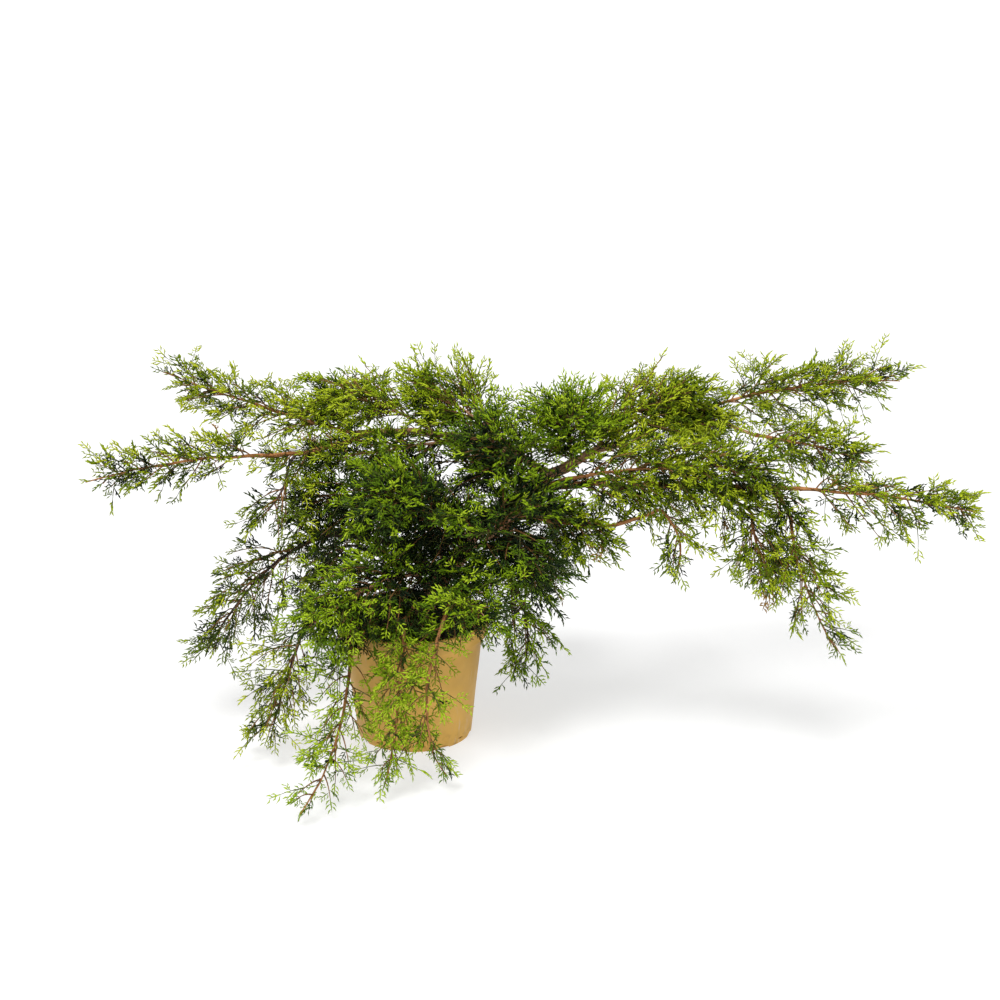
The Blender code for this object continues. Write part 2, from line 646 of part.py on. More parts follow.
def make_limbs(routes, trees, bark):
    """Trunk and boughs, each seated a gap clear of what carries it."""
    trunk = mesh_object("trunk", tube(routes["trunk"], 0, 1, TRUNK_RADIUS, TRUNK_TOP_RADIUS, TRUNK_SIDES, 14,
                                      flat_foot=True, flare=FLARE_RADIUS), bark)
    round_off(trunk, 60)
    trees["trunk"] = tree_of(trunk)
    for name, plan in BOUGHS.items():
        route = routes[name]
        start = clear_start(route, plan.thick, plan.thin, BOUGH_SIDES, trees[plan.parent], trees)
        rings = max(2, round(route.length / BOUGH_RING_STEP))
        limb = mesh_object(name, tube(route, start, 1, plan.thick, plan.thin, BOUGH_SIDES, rings), bark)
        round_off(limb, 80)
        trees[name] = tree_of(limb)


def main():
    for old in list(bpy.data.objects):
        bpy.data.objects.remove(old)
    taupe = material("taupe_plastic", (0.47, 0.29, 0.10), 0.45)
    peat = material("peat", (0.020, 0.014, 0.010), 0.95)
    bark = material("bark", (0.23, 0.11, 0.05), 0.85)
    greens = {"fresh": material("fresh_foliage", (0.14, 0.25, 0.02), 0.6),
              "mid": material("mid_foliage", (0.06, 0.15, 0.02), 0.6),
              "deep": material("deep_foliage", (0.02, 0.07, 0.02), 0.65)}
    routes = limb_routes()
    trees = {"pot": tree_of(make_pot(taupe)), "soil": tree_of(make_soil(peat))}
    make_limbs(routes, trees, bark)
    shapes = make_stems(routes, trees)
    stems = {name: [routes[name].point(i / 6) for i in range(7)] for name in MASSES}
    for name, mass in MASSES.items():
        trees[name] = tree_of(grow_mass(name, routes, shapes, stems, trees, greens[mass.tint]))


main()
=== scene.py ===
"""Spreading juniper in a round nursery pot: the looks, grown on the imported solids.

The limbs and masses stand where the part's own rule puts them, and the same rule is carried on
here to every twig and spray, then to the short branchlets and shoots that the solids leave out.
Metres, +Z up, -Y is the front.
"""
import json
import math
import random
from collections import namedtuple
from contextlib import contextmanager

import bmesh
import bpy
import numpy as np
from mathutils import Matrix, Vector, noise

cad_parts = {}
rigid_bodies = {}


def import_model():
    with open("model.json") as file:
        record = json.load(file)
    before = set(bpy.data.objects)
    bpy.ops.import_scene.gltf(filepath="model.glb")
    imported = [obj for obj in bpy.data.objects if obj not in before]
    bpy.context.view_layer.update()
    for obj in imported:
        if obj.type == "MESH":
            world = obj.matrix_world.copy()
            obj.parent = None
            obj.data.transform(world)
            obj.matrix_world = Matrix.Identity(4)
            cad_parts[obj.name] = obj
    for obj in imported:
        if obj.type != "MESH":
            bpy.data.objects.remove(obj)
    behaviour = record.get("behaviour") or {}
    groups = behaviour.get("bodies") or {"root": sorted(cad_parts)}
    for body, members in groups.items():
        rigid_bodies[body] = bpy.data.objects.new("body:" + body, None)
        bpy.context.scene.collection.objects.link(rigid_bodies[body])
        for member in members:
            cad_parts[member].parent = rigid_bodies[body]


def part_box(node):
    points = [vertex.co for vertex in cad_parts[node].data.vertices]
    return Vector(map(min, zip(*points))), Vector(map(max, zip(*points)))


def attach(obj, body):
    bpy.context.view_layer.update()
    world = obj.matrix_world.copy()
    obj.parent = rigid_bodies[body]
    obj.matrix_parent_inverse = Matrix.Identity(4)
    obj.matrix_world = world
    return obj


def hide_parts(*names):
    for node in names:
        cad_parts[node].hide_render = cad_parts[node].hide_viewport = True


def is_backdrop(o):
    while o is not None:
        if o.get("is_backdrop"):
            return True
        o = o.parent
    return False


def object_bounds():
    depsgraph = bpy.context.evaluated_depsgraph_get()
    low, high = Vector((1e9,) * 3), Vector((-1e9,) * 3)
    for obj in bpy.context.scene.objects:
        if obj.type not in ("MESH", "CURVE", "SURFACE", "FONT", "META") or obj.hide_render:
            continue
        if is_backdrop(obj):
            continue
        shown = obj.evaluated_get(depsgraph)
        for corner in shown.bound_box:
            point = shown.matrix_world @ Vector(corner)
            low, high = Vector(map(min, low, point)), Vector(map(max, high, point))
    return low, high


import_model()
CAD_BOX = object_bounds()
POT_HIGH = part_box("pot")[1]
SOIL_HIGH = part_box("soil")[1]

bl_info = {
    "name": "Potted juniper",
    "version": (1, 0, 0),
    "blender": (4, 5, 0),
    "location": "3D View > Sidebar > Juniper",
    "description": "Grows foliage, bark, soil and pot on the packed solids",
    "category": "Add Mesh",
}

BODY = "root"
UP = Vector((0, 0, 1))

# Trunk, as in the part
TRUNK_LEAN = Vector((0.197, 0.020, 0.345))
TRUNK_FOOT_OFFSET = 0.004
TRUNK_BOW = Vector((-0.018, -0.004, 0.022))
TRUNK_RADIUS = 0.0088
TRUNK_TOP_RADIUS = 0.0058
FLARE_RADIUS = 0.0070
FLARE_REACH = 0.07
GAP = 0.00035

# Rule of growth, as in the part: twigs turn round the stem, sprays stand left and right
GOLDEN_ANGLE = math.radians(137.5)
STEEP = 0.33
TWIG_FIRST, TWIG_RUN = 0.05, 0.87
TWIG_LEAN = math.radians(40)
TWIG_SHORTENING = 0.78
TWIG_LIFT = 0.07
TURN_DRAW = 0.3
LEAN_DRAW = 0.22
LENGTH_DRAW = (0.65, 1.15)
FACE_DRAW = 0.35
SPRAYS_A_TWIG = 5
SPRAY_FIRST, SPRAY_RUN = 0.22, 0.56
SPRAY_LEAN = math.radians(46)
SPRAY_RISE = 0.5
SPRAY_SHORTENING = 0.35
SPRAY_DROOP = 0.5
SPRAY_LIFT = 0.05

# Space that foliage keeps to: off the pot and the floor, and hardly beyond the part's own box
POT_CLEARANCE = 0.003
FLOOR_CLEARANCE = 0.015
BOX_ROOM = 0.004

# Shades of the foliage, dark to light, with the score at which each next one starts; they are partly
# the greens of old and young growth and partly painted shade and painted light
SHADES = ("shade", "deep", "mid", "fresh", "sunlit")
SHADE_STEPS = (0.12, 0.32, 0.56, 0.84)
TINT_SCORE = {"deep": 0.42, "mid": 0.52, "fresh": 0.72}
TINT_SLOT = {"shade": "foliage_deep", "deep": "foliage_deep", "mid": "foliage_mid",
             "fresh": "foliage_fresh", "sunlit": "foliage_fresh", "straw": "foliage_mid"}
# Painted light in a spray's score: what it gains with its rise over the stem and its distance from it,
# both as shares of the mass's spread, and with each metre to the front and above the middle height;
# the gain with distance is partly the paler young growth outside and partly painted light
RISE_PAINTED_LIGHT = 0.30
OUTER_GROWTH_AND_LIGHT = 0.95
FRONT_PAINTED_LIGHT = 0.2
HEIGHT_PAINTED_LIGHT = 0.6
MIDDLE_HEIGHT = 0.30
MIDDLE_SHARE = 0.55
SCORE_DRAW = 0.13
# Painted shade: places in the heart of the crown with their reach, and what a spray's score loses there
PAINTED_SHADE_PLACES = ((Vector((0.085, 0.000, 0.295)), 0.20), (Vector((-0.020, -0.055, 0.200)), 0.13))
PAINTED_SHADE_DEPTH = 0.60
# What a branchlet gains from the root to the tip of its spray as painted light, darker at the root and
# lighter at the tip, and its own draw
TIP_PAINTED_LIGHT = 0.46
BRANCHLET_DRAW = 0.15
# Length of the branchlet that ends a spray, as a share of the longest
TIP_REACH = 0.90
# How far branchlets turn upwards, and the heights over which that sets in
UPSWEEP = 0.22
UPSWEEP_START, UPSWEEP_RUN = 0.15, 0.12
# A score under this stands for a dry spray
DRY = -10
# Sides of the crown, with the share of red that the greens keep there
REGIONS = {"left": 1.05, "front": 0.87, "back": 0.96, "right": 1.0}
# Where along X the left side of the crown ends and the right side starts
LEFT_OF, RIGHT_OF = -0.15, 0.22

# Masses that show bare wood and sky: the share of their sprays that grows at the stem's root and
# at its tip, and how much of each twig is bare
OPEN_MASSES = {
    "foliage_left_low_arm": (1.40, 0.66, 0.18),
    "foliage_left_high_arm": (1.25, 0.55, 0.20),
    "foliage_left_weeping": (0.95, 0.36, 0.36),
    "foliage_left_hanging": (0.90, 0.28, 0.35),
    "foliage_left_trailing": (0.85, 0.20, 0.28),
    "foliage_front_trail_left": (0.85, 0.07, 0.42),
    "foliage_front_trail_middle": (1.10, 0.16, 0.36),
    "foliage_front_trail_right": (0.80, 0.10, 0.40),
    "foliage_right_high_arm": (1.35, 0.46, 0.20),
    "foliage_right_fork": (1.25, 0.30, 0.25),
    "foliage_right_arm": (1.35, 0.58, 0.18),
    "foliage_right_drop": (0.90, 0.15, 0.35),
    "foliage_right_inner_drop": (0.70, 0.28, 0.35),
    "foliage_right_low": (0.65, 0.32, 0.30),
    "foliage_right_weeping": (0.70, 0.42, 0.35),
    "foliage_under_middle": (0.75, 0.60, 0.25),
    "foliage_body_right": (0.80, 0.60, 0.22),
    "foliage_body_low": (0.85, 0.60, 0.22),
    "foliage_crown_right": (0.95, 0.66, 0.20),
}
# The same three shares for all other masses
FULL_MASS = (1.00, 0.86, 0.18)
# How much more often a twig is kept than each of its sprays
TWIGS_A_SPRAY = 3.5
# Length of the branchlets on sprays and twigs as a share of the longest
SPRAY_REACH, TWIG_REACH = 0.94, 0.86
# Least score of the sprays in masses that show sky
OPEN_SCORE = 0.36


def sight_lines(*rows):
    """Lines of sight as point, direction and radius, from rows of x and z where the line meets the
    plane y = 0, the three parts of its direction, and its radius."""
    return [(Vector((x, 0, z)), Vector(heading), radius) for x, z, *heading, radius in rows]


# Lines of sight that stay open between the limbs
OPEN_LINES = sight_lines(
    (0.051, 0.340, -0.025, 0.961, -0.274, 0.015),
    (-0.093, 0.337, -0.087, 0.958, -0.275, 0.011),
    (0.154, 0.267, 0.020, 0.953, -0.303, 0.013),
)

# Lines of sight past the ends of the arms and round the crown, where the photo shows sky
OUTER_LINES = sight_lines(
    (0.656, 0.243, 0.228, 0.925, -0.305, 0.023),
    (0.643, 0.266, 0.223, 0.929, -0.296, 0.015),
    (0.572, 0.340, 0.197, 0.943, -0.269, 0.013),
    (0.603, 0.343, 0.209, 0.941, -0.267, 0.013),
    (0.491, 0.111, 0.159, 0.920, -0.358, 0.021),
    (0.458, 0.148, 0.146, 0.927, -0.345, 0.017),
    (0.408, 0.185, 0.126, 0.935, -0.332, 0.015),
    (-0.163, -0.049, -0.110, 0.903, -0.416, 0.017),
    (0.588, 0.437, 0.205, 0.951, -0.230, 0.016),
    (0.264, 0.258, 0.066, 0.950, -0.306, 0.012),
    (-0.287, 0.432, -0.170, 0.957, -0.234, 0.012),
    (-0.392, 0.325, -0.211, 0.938, -0.274, 0.011),
    (-0.295, 0.502, -0.175, 0.963, -0.205, 0.011),
    (-0.243, 0.497, -0.153, 0.966, -0.208, 0.011),
    (0.607, 0.334, 0.211, 0.939, -0.271, 0.011),
    (-0.175, 0.265, -0.121, 0.946, -0.302, 0.012),
    (0.353, 0.214, 0.103, 0.941, -0.322, 0.015),
    (0.170, 0.099, 0.026, 0.930, -0.367, 0.013),
    (0.561, 0.248, 0.190, 0.933, -0.305, 0.012),
    (0.067, -0.062, -0.017, 0.906, -0.423, 0.014),
    (0.106, 0.463, -0.001, 0.974, -0.225, 0.010),
    (0.043, -0.024, -0.027, 0.912, -0.410, 0.010),
    (0.717, 0.310, 0.254, 0.927, -0.277, 0.015),
)

# Height under which a mass grows no sprays, where the pot's rim shows below it
LOWEST_SPRAY = {"foliage_front_right": 0.186}
# Height over which a mass grows no sprays, where the crown's top is low in the photo
HIGHEST_SPRAY = {"foliage_crown_right": 0.436, "foliage_left_top": 0.430, "foliage_crown_centre": 0.448}

# What the sprays of a mass gain on the rest, as young growth and painted light, or lose as painted shade
LIGHT_GAIN = {
    "foliage_front_trail_left": 0.22,
    "foliage_front_trail_middle": 0.26,
    "foliage_front_trail_right": 0.22,
    "bough_trail_left": 0.16,
    "bough_trail_middle": 0.16,
    "foliage_left_trailing": 0.20,
    "foliage_left_low_arm": -0.10,
    "foliage_left_high_arm": -0.10,
    "foliage_crown_right": -0.08,
    "foliage_left_top": -0.04,
    "foliage_right_high_arm": -0.06,
    "foliage_right_drop": 0.16,
    "foliage_right_inner_drop": 0.12,
    "foliage_right_weeping": 0.14,
    "foliage_body_front": -0.06,
    "foliage_body_low": -0.16,
    "foliage_junction": -0.02,
    "foliage_body_right": -0.12,
}

# Limbs, by the bark that they and what grows on them wear; the dark bark is painted shade on the limbs
# under, inside and at the back of the crown
BARK_KINDS = {
    "old": ("trunk", "bough_left", "bough_right_high"),
    "young": ("bough_left_low", "bough_right", "bough_right_low", "bough_trail_left",
              "bough_trail_middle", "bough_trail_right", "foliage_left_high_arm",
              "foliage_right_high_arm", "foliage_right_fork"),
    "dark": ("bough_left_weeping", "bough_left_weeping_low", "bough_left_drop",
             "bough_right_weeping", "bough_back_left", "bough_back", "bough_back_right",
             "foliage_body_left", "foliage_body_centre", "foliage_body_right", "foliage_inner"),
}
STEM_ROOT_RADIUS = 0.0022
STEM_TIP_RADIUS = 0.0007

Bough = namedtuple("Bough", "parent at tip bow thick thin")
Mass = namedtuple("Mass", "parent at tip bow spread twigs spray droop seed tint")

# Each bough: what it leaves, how far along that, its tip, how far its middle is carried off
# the straight line, and its radius at root and tip.
BOUGHS = {
    "bough_left": Bough("trunk", 0.90, (-0.078, 0.090, 0.366), (0.010, -0.006, 0.022), 0.0048, 0.0030),
    "bough_left_low": Bough(
        "bough_left", 0.90, (-0.179, -0.010, 0.364), (0, -0.008, -0.006), 0.0034, 0.0024),
    "bough_left_drop": Bough(
        "bough_left_low", 0.70, (-0.151, -0.008, 0.338), (-0.002, 0, -0.001), 0.0019, 0.0017),
    "bough_left_top": Bough("bough_left", 0.62, (0.002, 0.068, 0.388), (0, 0, 0), 0.0024, 0.0020),
    "bough_top_centre": Bough("bough_left", 0.22, (0.106, 0.038, 0.376), (0, 0, 0), 0.0026, 0.0022),
    "bough_right_high": Bough("trunk", 0.97, (0.383, 0.130, 0.392), (0, -0.004, 0.006), 0.0048, 0.0032),
    "bough_right_fork": Bough(
        "bough_right_high", 0.80, (0.432, 0.098, 0.361), (0, -0.005, 0.004), 0.0030, 0.0022),
    "bough_crown_right": Bough("bough_right_high", 0.22, (0.238, 0.048, 0.382), (0, 0, 0), 0.0028, 0.0022),
    "bough_right": Bough("trunk", 0.80, (0.462, -0.080, 0.343), (-0.010, -0.006, 0.004), 0.0046, 0.0024),
    "bough_right_up": Bough("bough_right", 0.06, (0.196, -0.04, 0.344), (0, 0, 0.002), 0.0028, 0.0022),
    "bough_right_drop": Bough(
        "bough_right", 0.91, (0.452, -0.088, 0.306), (0.003, 0, 0.001), 0.0022, 0.0019),
    "bough_right_inner_drop": Bough(
        "bough_right", 0.66, (0.408, -0.072, 0.31), (0.003, 0, 0.002), 0.0022, 0.0019),
    "bough_right_low": Bough("trunk", 0.68, (0.296, -0.090, 0.320), (0.004, 0.004, -0.026), 0.0029, 0.0019),
    "bough_left_weeping": Bough("trunk", 0.22, (-0.143, 0.040, 0.232), (0, 0, 0.036), 0.0046, 0.0028),
    "bough_left_weeping_low": Bough(
        "trunk", 0.11, (-0.128, -0.058, 0.166), (0.006, 0, 0.030), 0.0042, 0.0026),
    "bough_trail_left": Bough("trunk", 0.08, (-0.07, -0.092, 0.152), (0.004, -0.004, 0.02), 0.0036, 0.0026),
    "bough_trail_middle": Bough(
        "trunk", 0.12, (-0.006, -0.094, 0.184), (0.002, -0.002, 0.01), 0.0032, 0.0024),
    "bough_trail_right": Bough(
        "trunk", 0.17, (0.044, -0.092, 0.192), (0.006, -0.004, 0.006), 0.0034, 0.0023),
    "bough_right_weeping": Bough("trunk", 0.36, (0.120, -0.006, 0.204), (0.006, 0, 0.006), 0.0032, 0.0024),
    "bough_back_left": Bough("trunk", 0.14, (-0.062, 0.100, 0.204), (0.004, 0, 0.016), 0.0040, 0.0028),
    "bough_back": Bough("trunk", 0.24, (0.020, 0.122, 0.212), (0.006, 0, 0.010), 0.0038, 0.0027),
    "bough_back_right": Bough("trunk", 0.46, (0.138, 0.096, 0.252), (0.006, 0, 0.008), 0.0036, 0.0025),
}

# Each mass: the limb its stem meets and how far along that, the stem's tip and bow, how far
# its twigs reach, how many twigs the whole rule has, the length of a spray, how far twig
# ends fall, the seed of its draws, and which of the three greens it wears; fresh on top and in front
# and deep in the middle, at the back and below stand partly for painted light and painted shade.
MASSES = {
    "foliage_left_low_arm": Mass(
        "bough_left_low", 1, (-0.381, -0.074, 0.349), (0, 0, 0.008), 0.048, 22, 0.040, 0.08, 11, "mid"),
    "foliage_left_high_arm": Mass(
        "bough_left", 1, (-0.33, 0.195, 0.42), (0, 0, -0.004), 0.070, 36, 0.050, 0.14, 12, "fresh"),
    "foliage_left_hanging": Mass(
        "bough_left_drop", 1, (-0.189, -0.022, 0.284), (0.008, 0, 0), 0.048, 12, 0.042, 0.25, 13, "deep"),
    "foliage_left_top": Mass(
        "bough_left_top", 1, (-0.118, 0.12, 0.405), (0, 0, 0.01), 0.078, 42, 0.056, 0.08, 14, "fresh"),
    "foliage_top_centre": Mass(
        "bough_top_centre", 1, (0.012, 0.08, 0.423), (0, 0, 0.006), 0.080, 42, 0.056, 0.08, 15, "fresh"),
    "foliage_crown_centre": Mass(
        "trunk", 1, (0.189, -0.02, 0.421), (0, 0, 0), 0.080, 38, 0.056, 0.05, 16, "mid"),
    "foliage_crown_right": Mass(
        "bough_crown_right", 1, (0.345, 0.088, 0.417), (0, 0, 0.008), 0.080, 44, 0.056, 0.08, 17, "fresh"),
    "foliage_body_front": Mass(
        "trunk", 0.32, (0.16, -0.072, 0.335), (0, -0.034, 0.006), 0.080, 50, 0.056, 0.10, 18, "mid"),
    "foliage_body_low": Mass(
        "trunk", 0.58, (0.152, -0.08, 0.235), (0, -0.014, 0.016), 0.078, 30, 0.054, 0.20, 41, "mid"),
    "foliage_junction": Mass(
        "trunk", 0.86, (0.086, -0.05, 0.405), (0, -0.018, 0), 0.078, 34, 0.054, 0.05, 42, "mid"),
    "foliage_inner": Mass(
        "trunk", 0.74, (0.06, 0.08, 0.32), (0, 0, 0.02), 0.080, 30, 0.054, 0.15, 43, "deep"),
    "foliage_right_high_arm": Mass(
        "bough_right_high", 1, (0.636, 0.215, 0.404), (0, 0, 0.01), 0.068, 38, 0.052, 0.12, 19, "fresh"),
    "foliage_high_under": Mass(
        "bough_right_high", 0.6, (0.392, 0.095, 0.382), (0, 0, 0), 0.050, 22, 0.046, 0.16, 45, "mid"),
    "foliage_right_fork": Mass(
        "bough_right_fork", 1, (0.574, 0.07, 0.332), (0, 0, 0.004), 0.056, 28, 0.046, 0.12, 20, "mid"),
    "foliage_right_arm": Mass(
        "bough_right", 1, (0.663, -0.12, 0.326), (0, 0, 0.004), 0.062, 32, 0.050, 0.20, 21, "mid"),
    "foliage_right_middle": Mass(
        "bough_right_up", 1, (0.429, -0.1, 0.37), (0, 0, 0.01), 0.080, 54, 0.056, 0.24, 22, "mid"),
    "foliage_right_drop": Mass(
        "bough_right_drop", 1, (0.508, -0.118, 0.154), (-0.01, 0, 0), 0.062, 30, 0.048, 0.08, 23, "mid"),
    "foliage_right_inner_drop": Mass(
        "bough_right_inner_drop", 1, (0.43, -0.09, 0.23), (-0.004, 0, 0), 0.066, 30, 0.048, 0.12, 24, "mid"),
    "foliage_right_low": Mass(
        "bough_right_low", 1, (0.32, -0.104, 0.254), (0.01, 0, 0.006), 0.042, 10, 0.036, 0.20, 25, "mid"),
    "foliage_under_middle": Mass(
        "bough_right_low", 0.24, (0.236, -0.072, 0.284), (0, -0.004, 0.004),
        0.052, 18, 0.042, 0.25, 26, "mid"),
    "foliage_body_left": Mass(
        "trunk", 0.52, (-0.146, 0.03, 0.284), (0, 0, 0.03), 0.096, 56, 0.060, 0.16, 27, "deep"),
    "foliage_left_under": Mass(
        "bough_left", 0.5, (-0.112, 0.035, 0.352), (0, -0.004, -0.004), 0.060, 32, 0.050, 0.25, 44, "mid"),
    "foliage_body_centre": Mass(
        "trunk", 0.42, (-0.034, -0.09, 0.345), (0, -0.02, 0.012), 0.092, 50, 0.058, 0.12, 28, "deep"),
    "foliage_body_right": Mass(
        "trunk", 0.5, (0.172, 0.066, 0.17), (0, 0, 0.016), 0.074, 26, 0.052, 0.20, 29, "deep"),
    "foliage_left_weeping": Mass(
        "bough_left_weeping", 1, (-0.262, 0.02, 0.102), (0, 0, 0.018), 0.072, 28, 0.050, 0.12, 30, "deep"),
    "foliage_left_trailing": Mass(
        "bough_left_weeping_low", 1, (-0.17, -0.11, 0.03), (-0.006, 0, -0.004),
        0.066, 24, 0.046, 0.10, 31, "mid"),
    "foliage_front_left": Mass(
        "trunk", 0.25, (-0.12, -0.144, 0.188), (0.004, -0.02, 0.03), 0.086, 58, 0.056, 0.18, 32, "fresh"),
    "foliage_front_right": Mass(
        "trunk", 0.18, (0.092, -0.15, 0.206), (0, -0.01, 0.014), 0.080, 42, 0.054, 0.20, 33, "fresh"),
    "foliage_front_trail_left": Mass(
        "bough_trail_left", 1, (-0.116, -0.29, 0.024), (0.013, 0, -0.012),
        0.054, 26, 0.042, 0.05, 34, "fresh"),
    "foliage_front_trail_middle": Mass(
        "bough_trail_middle", 1, (-0.026, -0.212, 0.022), (0.004, -0.024, -0.012),
        0.044, 20, 0.038, 0.05, 40, "fresh"),
    "foliage_front_trail_right": Mass(
        "bough_trail_right", 1, (0.044, -0.18, 0.022), (-0.022, -0.03, -0.008),
        0.044, 20, 0.038, 0.05, 35, "fresh"),
    "foliage_right_weeping": Mass(
        "bough_right_weeping", 1, (0.14, -0.02, 0.092), (0.01, 0, 0.008), 0.056, 18, 0.046, 0.20, 36, "mid"),
    "foliage_back_left": Mass(
        "bough_back_left", 1, (-0.160, 0.236, 0.094), (0, 0, 0.034), 0.080, 24, 0.056, 0.15, 37, "deep"),
    "foliage_back": Mass(
        "bough_back", 1, (0.030, 0.290, 0.080), (0, 0, 0.040), 0.080, 24, 0.056, 0.15, 38, "mid"),
    "foliage_back_right": Mass(
        "bough_back_right", 1, (0.184, 0.236, 0.170), (0, 0, 0.024), 0.076, 22, 0.054, 0.15, 39, "deep"),
}

# Short leafy twigs that stand on the boughs themselves, by the same rule
SPUR_ROWS = {
    "bough_left_weeping": (0.055, 18, 0.044, 0.12, 60, "deep"),
    "bough_left_low": (0.045, 12, 0.038, 0.50, 59, "mid"),
    "bough_right_high": (0.050, 24, 0.040, 0.32, 51, "mid"),
    "bough_crown_right": (0.046, 12, 0.038, 0.08, 52, "mid"),
    "bough_right": (0.050, 24, 0.040, 0.36, 53, "mid"),
    "bough_right_low": (0.030, 6, 0.028, 0.05, 54, "mid"),
    "bough_trail_left": (0.062, 18, 0.044, 0.50, 57, "fresh"),
    "bough_trail_middle": (0.062, 16, 0.044, 0.60, 58, "fresh"),
    "bough_right_drop": (0.045, 7, 0.036, 0.30, 55, "mid"),
    "bough_right_inner_drop": (0.045, 7, 0.036, 0.30, 56, "mid"),
}
SPURS = {name: Mass(name, 0, BOUGHS[name].tip, (0, 0, 0), *row) for name, row in SPUR_ROWS.items()}


def number_setting(name, description, default, **limits):
    """Plain number that a user may change."""
    return bpy.props.FloatProperty(name=name, description=description, default=default, **limits)


def length_setting(name, description, default):
    """Length in metres."""
    return number_setting(name, description, default, unit="LENGTH")


def angle_setting(name, description, degrees):
    """Angle, given in degrees."""
    return number_setting(name, description, math.radians(degrees), unit="ROTATION")


def whole_setting(name, description, default, **limits):
    """Whole number."""
    return bpy.props.IntProperty(name=name, description=description, default=default, **limits)


def colour_setting(name, description, default):
    """Colour as shares of red, green and blue light."""
    return bpy.props.FloatVectorProperty(
        name=name, description=description, default=default, subtype="COLOR")


class PotSettings(bpy.types.PropertyGroup):
    """Sizes and colours of the nursery pot."""

    sides: whole_setting("Sides", "Sides of the turned wall", 128, min=24, max=256)
    wall: length_setting("Wall", "Thickness of the moulded wall", 0.0018)
    collar_height: length_setting("Collar height", "Height of the outward collar", 0.020)
    shoulder_radius: length_setting("Shoulder radius", "Radius of the wall under the collar", 0.086)
    foot_radius: length_setting("Foot radius", "Radius of the wall at the foot", 0.072)
    collar_draft: length_setting("Collar draft", "How far the collar widens upwards", 0.0015)
    drain_count: whole_setting("Drains", "Arched openings round the foot", 8, min=3, max=16)
    drain_width: length_setting("Drain width", "Width of each arched opening", 0.020)
    drain_height: length_setting("Drain height", "Height of each arched opening", 0.005)
    drain_first: angle_setting("First drain", "Turn of the first opening from +X", -58)
    slot_rise: length_setting("Slot rise", "Height of the small side slots above the floor", 0.0075)
    slot_width: length_setting("Slot width", "Width of a side slot", 0.009)
    slot_height: length_setting("Slot height", "Height of a side slot", 0.0016)
    waver: length_setting("Waver", "How far the thin wall strays from round", 0.0008)
    colour: colour_setting("Plastic", "Tan of the moulded plastic", (0.63, 0.365, 0.072))
    scuffed: colour_setting("Scuffs", "Paler tone of the scuffed places", (0.62, 0.43, 0.22))


class SoilSettings(bpy.types.PropertyGroup):
    """Surface of the potting soil and the chips on it."""

    lumps: length_setting("Lumps", "Height of the lumps in the surface", 0.004)
    chips: number_setting("Chips", "Bark chips on a square metre of soil", 26000)
    chip_size: length_setting("Chip size", "Length of a usual chip", 0.0042)
    seed: whole_setting("Seed", "Seed of the scattered chips", 3)
    colour: colour_setting("Peat", "Colour of the damp peat", (0.022, 0.015, 0.010))
    chip_colour: colour_setting("Chip colour", "Colour of the bark chips", (0.085, 0.048, 0.026))


class BarkSettings(bpy.types.PropertyGroup):
    """Relief and colours of the bark."""

    ring_step: length_setting("Ring step", "Distance between the rings of a limb", 0.0024)
    relief: number_setting("Relief", "Depth of the ridges as a share of the radius", 0.20)
    waver: number_setting("Waver", "How far a limb strays from its smooth course, in radii", 1.7)
    knot: number_setting("Knots", "Swelling where a limb leaves, as a share of the radius", 0.30)
    old: colour_setting("Old bark", "Tan of the peeling bark on older limbs", (0.60, 0.33, 0.18))
    young: colour_setting("Young bark", "Orange brown of young limbs", (0.40, 0.17, 0.050))
    # Painted shade: near black brown for the limbs that lie under, inside and at the back of the crown
    dark: colour_setting("Dark bark", "Black brown of the weeping limbs", (0.070, 0.038, 0.028))


class FoliageSettings(bpy.types.PropertyGroup):
    """Sizes of the branchlets and the greens that they wear."""

    reach: length_setting("Branchlet", "Length of the longest branchlets", 0.0235)
    spacing: length_setting("Spacing", "Distance between branchlets along a spray", 0.0092)
    lean: angle_setting("Lean", "Angle between a branchlet and its spray", 42)
    tumble: number_setting("Tumble", "How far branchlets stray from the flat of their spray", 0.55)
    shoots: whole_setting("Shoots", "Side shoots of a branchlet", 5, min=2, max=12)
    shoot_width: number_setting(
        "Shoot width", "Width of a shoot as a share of its branchlet's length", 0.118)
    kinds: whole_setting("Kinds", "Different branchlets that are dealt out", 8, min=1, max=20)
    seed: whole_setting("Seed", "Seed of the draws for branchlets", 5)
    twig_radius: length_setting("Twig radius", "Radius of a twig at its root", 0.0011)
    rib_radius: length_setting("Rib radius", "Radius of a spray's rib at its root", 0.0008)
    twig: colour_setting("Twig bark", "Brown of the twigs", (0.123, 0.058, 0.018))
    rib: colour_setting("Rib bark", "Olive of the ribs of sprays", (0.060, 0.070, 0.014))
    # Shade and partly deep are painted shade inside the crown, sunlit is painted sunlight on the tips
    shade: colour_setting("Shade", "Darkest green, inside the crown", (0.007, 0.015, 0.004))
    deep: colour_setting("Deep", "Deep green", (0.028, 0.052, 0.006))
    mid: colour_setting("Mid", "Middle green", (0.112, 0.178, 0.004))
    fresh: colour_setting("Fresh", "Fresh yellow green", (0.262, 0.350, 0.005))
    sunlit: colour_setting("Sunlit", "Lightest yellow green, at the tips", (0.440, 0.520, 0.020))
    straw: colour_setting("Straw", "Dry orange straw of a few old sprays", (0.30, 0.17, 0.045))
    fullness: number_setting(
        "Fullness", "Share of the rule's sprays that grows where nothing thins them", 0.58, min=0, max=1)
    straw_share: number_setting("Straw share", "Share of the sprays that are dry", 0.004, min=0, max=1)


